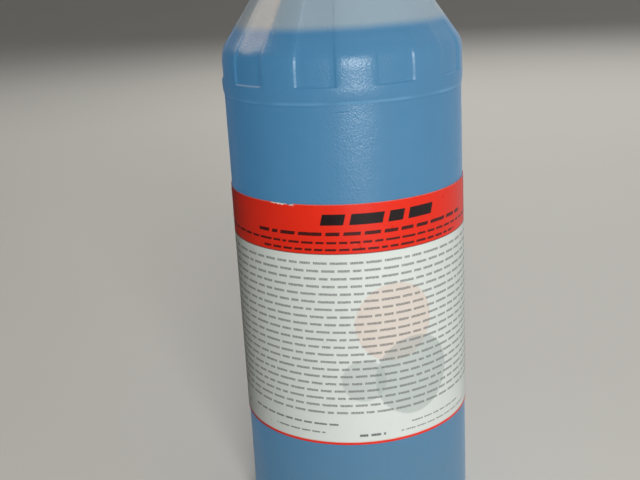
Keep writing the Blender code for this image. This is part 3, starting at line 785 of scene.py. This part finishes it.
# Short rows: (start and end from the front's middle, height, thickness, usual dash, evenness).
# The height counts from the label's foot, and on the band from the label's top edge
FOOT_ROWS = (
    (-46.0, -7.0, 8.0, 0.74, 4.6, 0.7),
    (-33.0, -12.0, 4.6, 0.60, 4.6, 0.5),
    (0.5, 10.0, 3.6, 0.95, 4.6, 0.8),
    (20.0, 46.0, 6.4, 0.55, 4.6, 0.3),
    (16.0, 52.0, 3.6, 0.50, 4.6, 0.3),
)
BAND_ROWS = (
    (-35.0, 51.0, -10.3, 1.25, 7.0, 0.85),
    (-62.0, 66.0, -13.4, 0.80, 4.48, 0.8),
    (-34.0, 45.0, -15.9, 0.80, 4.48, 0.8),
)
FOOT_SEED, BAND_SEED = 40, 60
SLANT = 0.25
HEADING_BARS = ((-12.5, -4.5), (-2.5, 9.0), (11.0, 16.5), (18.5, 28.5))
HEADING_HEIGHT = LABEL_TOP - 5.3
HEADING_SOFT = 0.25
HEADING_HALF = (2.05, 1.8)

# Discs: (way from the front's middle, height above the label's foot, radius, tint, strength)
FAINT_DISCS = (
    (15.0, 46.0, 14.5, srgb(217, 180, 160), 0.40),
    (22.0, 24.5, 15.0, srgb(154, 166, 164), 0.48),
    (3.0, 25.0, 8.0, srgb(160, 170, 168), 0.42),
)
DISC_SOFT = 0.4


def chip_depth(angle_from_front):
    turn = degrees(angle_from_front)
    for (start, low), (end, high) in zip(CHIP, CHIP[1:]):
        if start <= turn <= end:
            share = (turn - start) / (end - start)
            jag = CHIP_JAG * noise.noise(Vector((turn * CHIP_JAG_SIZE, 0.0, 0.0)))
            return max(0.0, low + (high - low) * share + jag)
    return 0.0


def inside_label(along, z):
    """Distance in from the label's outline, which has round corners."""
    reach_x = (along - LABEL_MIDDLE_ALONG).abs() - (LABEL_HALF_LENGTH - LABEL_CORNER)
    reach_z = (z - LABEL_MIDDLE_HEIGHT).abs() - (LABEL_HALF_HEIGHT - LABEL_CORNER)
    corner = reach_x.max(0.0).hypot(reach_z.max(0.0))
    return -(corner + reach_x.max(reach_z).min(0.0) - LABEL_CORNER)


def printed_film():
    """Glossy film: red band and white field, both with rows of plain dashes, and a red outline."""
    surface = Surface("printed_film")
    along = surface.along(LABEL_OUTER)
    z = surface.z
    ink = surface.noise(0.5, detail=1.0)
    ragged = (ink - 0.5) * PRINT_RAGGED
    inside = inside_label(along, z) + ragged

    outline = inside.rise(OUTLINE_WIDTH + OUTLINE_SOFT, OUTLINE_WIDTH - OUTLINE_SOFT)
    band = (z + ragged).rise(BAND_BOTTOM - BAND_SOFT, BAND_BOTTOM + BAND_SOFT)
    border = (z - BAND_BOTTOM + ragged).abs().rise(*BORDER_HALF)
    pink = inside.between(OUTLINE_WIDTH, OUTLINE_WIDTH + PINK_WIDTH, 0.25)

    field = surface.mix(surface.noise(20), LABEL_WHITE, LABEL_WHITE_SHADE)
    field = faint_discs(surface, along, field)
    colour = surface.mix(pink * 0.5, field, LABEL_PINK)
    colour = surface.mix(band.max(outline), colour, LABEL_RED)

    colour = surface.mix(white_field_rows(surface, along), colour, PRINT_GREY)
    foot_rows = short_rows(surface, along, along, z - LABEL_BOTTOM, FOOT_ROWS, FOOT_SEED)
    colour = surface.mix(foot_rows, colour, PRINT_GREY)
    slanting = along - (z - BAND_BOTTOM) * SLANT
    band_rows = short_rows(surface, slanting, along, z - LABEL_TOP, BAND_ROWS, BAND_SEED)
    colour = surface.mix(heading_bars(slanting, z).max(band_rows), colour, PRINT_BLACK)
    colour = surface.mix(border * 0.75, colour, LABEL_RED_DARK)

    # pale top edge of the film, the torn chip and small scratches
    top_edge = (z + ragged * 2.0).rise(*TOP_EDGE)
    colour = surface.mix(top_edge * 0.45, colour, LABEL_PINK)
    tear = surface.noise(1.1, detail=3.0) * TEAR_RAGGED
    chip = along.between(*CHIP_PRINT) * (z + tear).rise(*TORN_EDGE)
    colour = surface.mix(chip, colour, TORN_PAPER)
    fleck_place = surface.vector(along * 0.35, z, 0.0)
    fleck = surface.noise(0.9, detail=2.0, vector=fleck_place).rise(0.735, 0.765)
    fleck_zone = surface.noise(16, detail=1.0).rise(0.56, 0.66)
    colour = surface.mix(fleck * fleck_zone * band * 0.8, colour, TORN_PAPER)

    mottle = surface.noise(5, detail=4.0, roughness=0.6)
    colour = surface.shade(colour, mottle * 0.08 + 0.96)
    roughness = (mottle - 0.5) * 0.14 + 0.30 + chip * 0.4
    wave = surface.noise(11, detail=2.0)
    height = wave * 0.05 + ink * 0.004 - chip * 0.05
    surface.set(IOR=1.5, Specular_IOR_Level=0.36)
    return surface.finish(colour, roughness, height)


def dashes(surface, run, height, row, thickness, length, evenness):
    """A row of plain dashes of uneven length.

    run is the way along the row, height is measured from the row's middle, length is that of a
    usual dash, row is a number that makes rows differ, and evenness is that of the ink.
    """
    run = run + row * DASH_SHIFT
    dash = surface.from_edge(run, length).rise(thickness * 0.45, thickness * 0.45 + DASH_SOFT * 2)
    thick = height.abs().rise(thickness / 2 + DASH_SOFT, thickness / 2 - DASH_SOFT)
    grain_place = surface.vector(run / INK_LENGTH, height / INK_HEIGHT, row)
    ink = surface.noise(1.0, detail=1.0, vector=grain_place).rise(0.30, 0.66)
    return dash * thick * (ink * (1.0 - evenness) + evenness)


def white_field_rows(surface, along):
    """The even rows of small dashes on the white field, which end unevenly on the right."""
    down = -(surface.z - ROW_TOP) / ROW_PITCH
    row = down.floor()
    height = (0.5 - down.fraction()) * ROW_PITCH
    marks = dashes(surface, along, height, row, ROW_THICKNESS, ROW_DASH, ROW_EVENNESS) * ROW_STRENGTH
    row_place = surface.vector(row * 5.3, 0.5, 0.5)
    drift = surface.noise(1.0, detail=0.0, vector=row_place) * ROW_END_DRIFT
    from_middle = along - LABEL_MIDDLE_ALONG
    end = ROW_HALF_LENGTH + ROW_END_SPARE
    left = from_middle.rise(-ROW_HALF_LENGTH - ROW_END_SOFT, -ROW_HALF_LENGTH + ROW_END_SOFT)
    right = (from_middle + drift).rise(end + ROW_END_SOFT, end - ROW_END_SOFT)
    return marks * left * right * down.between(0.0, ROW_COUNT, 0.02)


def short_rows(surface, run, along, height, rows, seed):
    """Rows of dashes that each have their own stretch, height and size."""
    marks = []
    for number, (start, end, middle, thickness, length, evenness) in enumerate(rows, seed):
        from_middle = height - middle
        row = dashes(surface, run, from_middle, number, thickness, length, evenness)
        marks.append(row * along.between(start, end, ROW_END_SOFT))
    return reduce(Value.max, marks)


def heading_bars(slanting, z):
    """Thick slanting bars in the upper half of the red band."""
    bars = [slanting.between(start, end, HEADING_SOFT) for start, end in HEADING_BARS]
    return reduce(Value.max, bars) * (z - HEADING_HEIGHT).abs().rise(*HEADING_HALF)


def faint_discs(surface, along, colour):
    """Three pale overlapping discs behind the rows of dashes."""
    for middle, height, radius, tint, strength in FAINT_DISCS:
        reach = (along - middle).hypot(surface.z - (LABEL_BOTTOM + height))
        disc = reach.rise(radius + DISC_SOFT, radius - DISC_SOFT)
        colour = surface.mix(disc * strength, colour, tint)
    return colour


def label_columns():
    """The label's columns from its left end to its right: (angle from the front, cut off each end)."""
    corner_angle = LABEL_CORNER / LABEL_INNER
    first = LABEL_MIDDLE - LABEL_WRAP / 2
    corner = [
        (first + corner_angle * (1 - cos(pi / 2 * share)), LABEL_CORNER * (1 - sin(pi / 2 * share)))
        for share in shares(8)
    ]
    width = LABEL_WRAP - 2 * corner_angle
    steps = shares(ceil(width / LABEL_COLUMN))
    plain = [(first + corner_angle + width * share, 0.0) for share in steps[1:-1]]
    mirrored = [(2 * LABEL_MIDDLE - angle, cut) for angle, cut in corner[::-1]]
    return corner + plain + mirrored


def make_label():
    """The wrap label: a thin closed sheet round the panel, open at the back."""
    up = shares(12)
    rings = []
    for turn, cut in label_columns():
        low = LABEL_BOTTOM + cut
        high = LABEL_TOP - max(cut, chip_depth(turn))
        direction = Vector((sin(turn), -cos(turn), 0.0))
        ring = []
        for radius, steps in ((LABEL_OUTER, up), (LABEL_INNER, up[::-1])):
            for share in steps:
                point = direction * radius
                point.z = low + (high - low) * share
                ring.append(point)
        rings.append(ring)
    label = skin("wrap_label", rings, printed_film())
    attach(label, "bottle_body")
    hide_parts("label")


# ---- plastics of the head

# Each plastic: its colour, its deeper shade and its colour where it is rubbed
RED_PLASTIC = (srgb(186, 28, 20), srgb(150, 18, 14), srgb(206, 92, 80))
NATURAL_PLASTIC = (srgb(218, 219, 210), srgb(196, 200, 192), srgb(232, 230, 222))
TUBE_MILK = (srgb(206, 210, 204), srgb(180, 188, 184))
FOAM_CREAM = (srgb(214, 211, 200), srgb(190, 187, 176))
CONTENTS_BLUE = (srgb(20, 84, 140), srgb(38, 110, 164))

SCRATCH_STRETCH = 6.0
TUBE_LINE_STRETCH = 0.02


def moulded(name, plastic, rub_place=None, gloss=0.34):
    """Moulded plastic: drifting colour, fine grain, and rubbed spots where rub_place is high."""
    colour, shade, rub = plastic
    surface = Surface(name)
    drift = surface.noise(12, detail=3.0, roughness=0.6)
    tone = surface.mix(drift, colour, shade)
    wear = surface.noise(2.6, detail=4.0, roughness=0.7)
    worn = wear.rise(0.54, 0.70) * 0.35
    if rub_place:
        worn = worn * 0.5 + wear.rise(0.36, 0.62) * rub_place(surface) * 0.6
    tone = surface.mix(worn, tone, rub)
    scratch_place = surface.vector(surface.x * SCRATCH_STRETCH, surface.y * SCRATCH_STRETCH, surface.z)
    scratch = surface.noise(4.0, detail=3.0, vector=scratch_place).rise(0.62, 0.72)
    roughness = (drift - 0.5) * 0.14 + gloss + worn * 0.25 + scratch * 0.08
    fine = surface.noise(0.35, detail=2.0)
    height = fine * 0.010 + wear * 0.02 - scratch * 0.006
    surface.set(IOR=1.49)
    return surface.finish(tone, roughness, height)


def rib_crests(surface):
    """The rubbed crests of the cap's ribs and its upper edge."""
    reach = surface.x.hypot(surface.y)
    crest = reach.rise(CAP_RADIUS - 0.22, CAP_RADIUS - 0.04)
    top = (surface.z - (CAP_TOP - 0.5)).abs().rise(0.8, 0.2)
    edge = (reach - (CAP_RADIUS - 0.6)).abs().rise(0.9, 0.2)
    return crest.max(top * edge)


def extruded(name):
    """Milky extruded tube, with faint lines along its upright stretches."""
    surface = Surface(name)
    cloud = surface.noise(7, detail=3.0)
    line_place = surface.vector(surface.x, surface.y, surface.z * TUBE_LINE_STRETCH)
    lines = surface.noise(0.5, detail=1.0, vector=line_place)
    tone = surface.shade(surface.mix(cloud, *TUBE_MILK), lines * 0.06 + 0.97)
    surface.set(IOR=1.51)
    return surface.finish(tone, cloud * 0.10 + 0.20, cloud * 0.03 + lines * 0.004)


def foam():
    """Closed-cell foam of the neck gasket."""
    surface = Surface("gasket_foam")
    cell = surface.cells(0.45)
    tone = surface.mix(cell.rise(0.1, 0.7), *FOAM_CREAM)
    return surface.finish(tone, cell * 0.1 + 0.75, cell * 0.05)


def blue_contents():
    """The contents: clear blue, a little paler towards the level."""
    surface = Surface("blue_contents")
    depth = surface.z.rise(0.0, LIQUID_LEVEL)
    tone = surface.mix(depth * 0.6 + surface.noise(30) * 0.3, *CONTENTS_BLUE)
    ripple = surface.noise(9, detail=1.0)
    surface.set(IOR=1.36)
    return surface.finish(tone, ripple * 0.04 + 0.04, ripple * 0.02)


def dress(node, material):
    """Gives a carried-over CAD node its finish."""
    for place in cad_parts[node].material_slots:
        place.material = material


# ---- head pieces; each corner of a profile is (radius, height, fillet)

def cap_relief(angle, radius, height):
    """Rounded ribs outside and the thread inside; both press in towards the axis."""
    if abs(radius - CAP_BORE) < 0.05:
        return CAP_THREAD_HEIGHT * thread_share(angle, height, CAP_THREAD_START, CAP_THREAD_TURNS)
    if radius < CAP_RADIUS - CAP_RIB_DEPTH / 2:
        return 0.0
    rise = s_curve((height - CAP_SKIRT - CAP_PLAIN_BAND) / CAP_RIB_START)
    fall = s_curve((CAP_TOP - 1.1 * CAP_EDGE - height) / CAP_RIB_END)
    crest = (0.5 + 0.5 * cos(CAP_RIBS * angle)) ** 0.75
    return CAP_RIB_DEPTH * rise * fall * (1 - crest)


def make_cap():
    hole = STEM_RADIUS + CLEARANCE
    skirt_middle = (CAP_BORE + CAP_RADIUS) / 2
    dish_inner, dish_outer = hole + CAP_DISH_INNER, CAP_RADIUS - CAP_DISH_OUTER
    corners = [
        (skirt_middle, CAP_SKIRT, 0.0),
        (CAP_BORE, CAP_SKIRT, 0.35),
        (CAP_BORE, CAP_CEILING, 0.5),
        (hole, CAP_CEILING, 0.2),
        (hole, CAP_TOP, 0.35),
        (dish_inner, CAP_TOP, 0.3),
        (dish_inner + CAP_DISH, CAP_TOP - CAP_DISH, 0.3),
        (dish_outer - CAP_DISH, CAP_TOP - CAP_DISH, 0.3),
        (dish_outer, CAP_TOP, 0.3),
        (CAP_RADIUS, CAP_TOP, CAP_EDGE),
        (CAP_RADIUS, CAP_SKIRT, 0.35),
        (skirt_middle, CAP_SKIRT, 0.0),
    ]
    rows = spaced(filleted(corners)[:-1], upright=0.42, level=2.0)
    material = moulded("red_polypropylene", RED_PLASTIC, rib_crests)
    columns = even_angles(CAP_RIBS * COLUMNS_PER_RIB)
    cap = turned("ribbed_cap", rows, columns, material, cap_relief, ring_shaped=True)
    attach(cap, "cap")
    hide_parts("screw_cap")


def make_insert():
    """The moulding that carries both tubes: hub, stem, flange and plug, turned as one."""
    lower_top = PLUG_BOTTOM + SOCKET_DEPTH
    upper_floor = HUB_TOP - SOCKET_DEPTH
    groove_top = FLANGE_BOTTOM - GROOVE_ROOF
    plug_inner = PLUG_RADIUS - PLUG_WALL
    socket_rim = SOCKET_RADIUS + 0.5
    corners = [
        (socket_rim, PLUG_BOTTOM, 0.0),
        (SOCKET_RADIUS, PLUG_BOTTOM, 0.3),
        (SOCKET_RADIUS, lower_top, 0.1),
        (TUBE_BORE_RADIUS, lower_top, 0.1),
        (TUBE_BORE_RADIUS, upper_floor, 0.1),
        (SOCKET_RADIUS, upper_floor, 0.1),
        (SOCKET_RADIUS, HUB_TOP, 0.25),
        (BOSS_RADIUS, HUB_TOP, 0.5),
        (BOSS_RADIUS + BOSS_FLARE, STEM_TOP, 1.1),
        (STEM_RADIUS, STEM_TOP, 0.5),
        (STEM_RADIUS, FLANGE_TOP, 0.05),
        (FLANGE_RADIUS, FLANGE_TOP, 0.3),
        (FLANGE_RADIUS, FLANGE_BOTTOM, 0.3),
        (PLUG_RADIUS, FLANGE_BOTTOM, 0.05),
        (PLUG_RADIUS, PLUG_BOTTOM, 0.7),
        (plug_inner, PLUG_BOTTOM, 0.2),
        (plug_inner, groove_top, 0.5),
        (BOSS_RADIUS, groove_top, 0.5),
        (BOSS_RADIUS, PLUG_BOTTOM, 0.4),
        (socket_rim, PLUG_BOTTOM, 0.0),
    ]
    rows = spaced(filleted(corners)[:-1], upright=1.5, level=2.0)
    material = moulded("natural_polypropylene", NATURAL_PLASTIC, gloss=0.36)
    insert = turned("insert_moulding", rows, even_angles(INSERT_COLUMNS), material, ring_shaped=True)
    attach(insert, "spout")
    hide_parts("spout_insert")


def spout_place(distance):
    """The point and heading of the tube's middle line, at a distance from where it starts."""
    rise = BEND_START - TUBE_START
    if distance <= rise:
        return Vector((0, 0, TUBE_START + distance)), Vector((0, 0, 1))
    angle = min(BEND_ANGLE, (distance - rise) / BEND_RADIUS)
    heading = Vector((-sin(angle), 0, cos(angle)))
    point = Vector((-BEND_RADIUS * (1 - cos(angle)), 0, BEND_START + BEND_RADIUS * sin(angle)))
    return point + heading * (distance - rise - BEND_RADIUS * angle), heading


def make_spout_tube():
    """The bent delivery tube, with its cut ends rounded a little."""
    rise = BEND_START - TUBE_START
    turn = BEND_RADIUS * BEND_ANGLE
    length = rise + turn + SPOUT_STRAIGHT
    wall_middle = (TUBE_RADIUS + TUBE_BORE_RADIUS) / 2
    edge = TUBE_EDGE
    stops = [edge + (rise - edge) * share for share in shares(5)[:-1]]
    stops += [rise + turn * share for share in shares(40)[:-1]]
    stops += [rise + turn + (SPOUT_STRAIGHT - edge) * share for share in shares(8)]
    start = [(wall_middle, 0.0), (TUBE_RADIUS - edge / 2, 0.0), (TUBE_RADIUS, edge / 2)]
    end = [(TUBE_RADIUS, length - edge / 2), (TUBE_RADIUS - edge / 2, length), (wall_middle, length)]
    back = [(TUBE_BORE_RADIUS, distance) for distance in stops[::-1]]
    loop = start + [(TUBE_RADIUS, distance) for distance in stops] + end + back
    rings = []
    sideways = Vector((0, 1, 0))
    for radius, distance in loop:
        middle, heading = spout_place(distance)
        upward = sideways.cross(heading)
        rings.append([
            middle + radius * (cos(angle) * upward + sin(angle) * sideways)
            for angle in even_angles(TUBE_COLUMNS)
        ])
    tube = skin("spout_tube", rings, extruded("milky_tube"), lengthwise=True)
    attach(tube, "spout")
    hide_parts("delivery_tube")


def nozzle_frame():
    """The frame of the spout's straight end: +Z towards the jet, +X on its upper side."""
    place, heading = spout_place(BEND_START - TUBE_START + BEND_RADIUS * BEND_ANGLE)
    across = Vector((0, 1, 0))
    upper = across.cross(heading)
    return Matrix.Translation(place * MM) @ Matrix((upper, across, heading)).transposed().to_4x4()


def nozzle_radius(distance):
    """Radius of the plain taper that the tip cap fits, along the spout's straight end."""
    share = min(1.0, max(0.0, (distance - TAPER_START) / (NOZZLE_END - TAPER_START)))
    return SLEEVE_RADIUS + (NOZZLE_TIP_RADIUS - SLEEVE_RADIUS) * share


def make_nozzle():
    """The drawn tip: a sleeve with two grip beads, then a taper that is a little hollow."""
    sleeve = SLEEVE_RADIUS - BEAD_HEIGHT
    wall_middle = SOCKET_RADIUS + 0.4
    outside = [
        (wall_middle, SLEEVE_START, 0.0),
        (SLEEVE_RADIUS, SLEEVE_START, 0.4),
        (SLEEVE_RADIUS, SLEEVE_START + 1.3, 0.3),
        (sleeve, SLEEVE_START + 1.6, 0.3),
        (sleeve, SLEEVE_START + 3.0, 0.3),
        (SLEEVE_RADIUS, SLEEVE_START + 3.3, 0.3),
        (SLEEVE_RADIUS, SLEEVE_START + 4.1, 0.3),
        (sleeve, SLEEVE_START + 4.4, 0.3),
        (sleeve, TAPER_START - 0.8, 0.0),
    ]
    rows = filleted(outside, steps=3)
    for share in shares(22)[1:-1]:
        distance = TAPER_START + (NOZZLE_END - TAPER_START) * share
        waist = NOZZLE_WAIST * sin(pi * share) ** 0.8
        rows.append((nozzle_radius(distance) - waist - BEAD_HEIGHT * (1 - share), distance))
    inside = [
        (*rows[-1], 0.0),
        (NOZZLE_TIP_RADIUS, NOZZLE_END, 0.25),
        (JET_RADIUS, NOZZLE_END, 0.15),
        (TUBE_BORE_RADIUS, TAPER_START, 1.0),
        (TUBE_BORE_RADIUS, SPOUT_STRAIGHT + CLEARANCE, 0.1),
        (SOCKET_RADIUS, SPOUT_STRAIGHT + CLEARANCE, 0.1),
        (SOCKET_RADIUS, SLEEVE_START, 0.2),
        (wall_middle, SLEEVE_START, 0.0),
    ]
    rows += filleted(inside, steps=3)[1:-1]
    material = moulded("nozzle_polypropylene", NATURAL_PLASTIC, gloss=0.28)
    nozzle = turned("drawn_nozzle", rows, even_angles(NOZZLE_COLUMNS), material, ring_shaped=True)
    nozzle.data.transform(nozzle_frame())
    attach(nozzle, "spout")
    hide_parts("nozzle_tip")


def rounded_side(share, width, power):
    """A coordinate of an outline between an ellipse and a box; a smaller power is boxier."""
    return (1 if share > 0 else -1) * abs(share) ** power * width / 2


def strap_sections(start, end):
    """Sections of the strap, which bows from start to end; both are (offset, distance)."""

    def middle(share):
        offset = start[0] + (end[0] - start[0]) * share + STRAP_BOW * sin(pi * share)
        return Vector((offset, 0, start[1] + (end[1] - start[1]) * share))

    nudge = 0.01
    sections = []
    for share in shares(48):
        heading = (middle(share + nudge) - middle(share - nudge)).normalized()
        lift = Vector((heading.z, 0, -heading.x))
        section = []
        for turn in even_angles(STRAP_COLUMNS):
            aside = Vector((0, rounded_side(cos(turn), STRAP_WIDTH, 0.35), 0))
            section.append(middle(share) + aside + lift * rounded_side(sin(turn), STRAP_THICKNESS, 0.6))
        sections.append(section)
    return sections


def make_tip_cap():
    """The cup on the jet, its bowed strap and the ring round the tube, moulded as one."""
    mouth_bore = nozzle_radius(TIP_CAP_MOUTH) + CLEARANCE
    end_bore = NOZZLE_TIP_RADIUS + CLEARANCE
    outer = mouth_bore + TIP_CAP_WALL
    closed_end = NOZZLE_END + CLEARANCE
    corners = [
        (0.0, closed_end, 0.0),
        (end_bore, closed_end, 0.3),
        (mouth_bore, TIP_CAP_MOUTH, 0.2),
        (outer + TIP_CAP_LIP, TIP_CAP_MOUTH, 0.35),
        (outer + TIP_CAP_LIP, TIP_CAP_MOUTH + TIP_CAP_WALL, 0.4),
        (outer, TIP_CAP_MOUTH + TIP_CAP_WALL, 0.35),
        (outer, closed_end + TIP_CAP_WALL, 1.1),
        (0.0, closed_end + TIP_CAP_WALL, 0.0),
    ]
    material = moulded("tip_cap_polypropylene", RED_PLASTIC, gloss=0.36)
    cup = turned("tip_cap_with_strap", filleted(corners, steps=5), even_angles(NOZZLE_COLUMNS), material)

    ring_outer = SOCKET_RADIUS + RING_WALL
    ring_middle = (SOCKET_RADIUS + ring_outer) / 2
    ring_corners = [
        (ring_middle, RING_START, 0.0),
        (ring_outer, RING_START, 0.5),
        (ring_outer, RING_START + RING_WIDTH, 0.5),
        (SOCKET_RADIUS, RING_START + RING_WIDTH, 0.3),
        (SOCKET_RADIUS, RING_START, 0.3),
        (ring_middle, RING_START, 0.0),
    ]
    ring_rows = filleted(ring_corners)[:-1]
    ring = turned("ring", ring_rows, even_angles(RING_COLUMNS), material, ring_shaped=True)

    strap_start = (ring_outer - STRAP_THICKNESS / 2, RING_START + RING_WIDTH / 2)
    strap_end = (outer - STRAP_THICKNESS / 4, (TIP_CAP_MOUTH + NOZZLE_END) / 2)
    strap = skin("strap", strap_sections(strap_start, strap_end), material)

    unite(cup, [ring, strap])
    cup.data.transform(nozzle_frame())
    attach(cup, "tip_cap")
    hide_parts("tip_cap")


def make_head():
    make_cap()
    make_insert()
    make_spout_tube()
    make_nozzle()
    make_tip_cap()
    dress("neck_gasket", foam())
    dress("dip_tube", extruded("milky_dip_tube"))
    dress("liquid", blue_contents())


# ---- stage, light and camera

# The photograph's viewpoint, fitted to the circles of the bottle; lights and camera are in metres
CAMERA_DISTANCE = 8.22062 * PANEL_RADIUS
CAMERA_RISE = 1.14711 * PANEL_RADIUS
CAMERA_PLACE = Vector((0.0, -CAMERA_DISTANCE, PANEL_TOP + CAMERA_RISE)) * MM
CAMERA_YAW = radians(-1.835)
CAMERA_PITCH = radians(16.945)
CAMERA_ROLL = radians(-3.186)
CAMERA_LENS = 54.262

FLOOR_HALF = 40000.0
FLOOR_PALE = (srgb(206, 202, 194), srgb(212, 208, 200))

# The room's light: dim on the left, brighter to the right
ROOM_WHITE = srgb(250, 251, 252)
ROOM_RISE = (-0.42, 0.9)
ROOM_DIM, ROOM_GAIN = 0.045, 0.40
FLASH_PLACE = CAMERA_PLACE + Vector((0.073, 0.0, 0.0))
BELT_PLACE = Vector((0.0, 0.0, BELT_BOTTOM)) * MM
CONE_PLACE = Vector((0.0, 0.0, BELT_TOP + 6.0)) * MM
WARM_WHITE = srgb(255, 222, 188)


def around(azimuth, elevation, distance, target):
    """A place at an azimuth from the front (towards +X) and an elevation, seen from the target."""
    turn, lift = radians(azimuth), radians(elevation)
    return target + distance * Vector((sin(turn) * cos(lift), -cos(turn) * cos(lift), sin(lift)))


def area_light(name, place, target, size, power, colour=(1.0, 1.0, 1.0), fill=True, gloss=True):
    """A rectangular light; fill and gloss say whether it lights surfaces and shows in their gloss."""
    data = bpy.data.lights.new(name, "AREA")
    data.shape = "RECTANGLE"
    data.size, data.size_y = size
    data.energy = power
    data.color = colour
    lamp = bpy.data.objects.new(name, data)
    lamp.location = place
    lamp.rotation_euler = (target - place).to_track_quat("-Z", "Y").to_euler()
    lamp.visible_diffuse = fill
    lamp.visible_glossy = gloss
    bpy.context.scene.collection.objects.link(lamp)


def make_stage():
    surface = Surface("pale_floor")
    cloud = surface.noise(350, detail=3.0)
    material = surface.finish(surface.mix(cloud, *FLOOR_PALE), cloud * 0.05 + 0.62)
    corners = [(x * FLOOR_HALF, y * FLOOR_HALF, 0.0) for x, y in ((-1, -1), (1, -1), (1, 1), (-1, 1))]
    floor = mesh_object("floor", corners, [(0, 1, 2, 3)], material)
    floor.visible_glossy = False


def make_room():
    world = bpy.data.worlds.new("soft_room")
    bpy.context.scene.world = world
    world.use_nodes = True
    tree = world.node_tree
    background = tree.nodes["Background"]
    background.inputs["Color"].default_value = (*ROOM_WHITE, 1.0)
    direction = add_node(tree, "TexCoord", {}).outputs["Generated"]
    across = Value(tree, add_node(tree, "SeparateXYZ", {0: direction}).outputs[0])
    strength = across.rise(*ROOM_RISE) * ROOM_GAIN + ROOM_DIM
    tree.links.new(strength.socket, background.inputs["Strength"])


def make_light():
    """A soft room, brighter in front and on the right, with a small light close to the camera."""
    make_room()
    key, sheen = around(14, 11, 1.1, BELT_PLACE), around(12.5, 5.5, 1.1, BELT_PLACE)
    back, top = around(168, 38, 1.6, BELT_PLACE), around(0, 86, 1.6, BELT_PLACE)
    wall = around(-117, 32, 1.2, CONE_PLACE)
    area_light("key", key, BELT_PLACE, size=(0.3, 0.3), power=8.0, gloss=False)
    area_light("key_sheen", sheen, BELT_PLACE, size=(0.2, 0.3), power=6.2, fill=False)
    area_light("flash", FLASH_PLACE, BELT_PLACE, size=(0.03, 0.03), power=0.09)
    area_light("back", back, BELT_PLACE, size=(1.2, 1.0), power=12.0)
    area_light("top", top, BELT_PLACE, size=(1.2, 1.2), power=2.0)
    area_light("warm_wall", wall, CONE_PLACE, size=(0.34, 0.34), power=3.0, colour=WARM_WHITE, fill=False)


def make_camera():
    data = bpy.data.cameras.new("camera")
    data.lens = CAMERA_LENS
    data.sensor_width = 36.0
    data.clip_start = 0.01
    camera = bpy.data.objects.new("camera", data)
    bpy.context.scene.collection.objects.link(camera)
    yaw = Matrix.Rotation(-CAMERA_YAW, 4, "Z")
    pitch = Matrix.Rotation(pi / 2 - CAMERA_PITCH, 4, "X")
    roll = Matrix.Rotation(CAMERA_ROLL, 4, "Z")
    camera.matrix_world = Matrix.Translation(CAMERA_PLACE) @ yaw @ pitch @ roll
    bpy.context.scene.camera = camera


def main():
    bpy.context.scene.view_settings.view_transform = "Standard"
    make_stage()
    make_light()
    make_camera()
    make_bottle()
    make_label()
    make_head()


main()


def plain(corners):
    return [list(corner) for corner in corners]
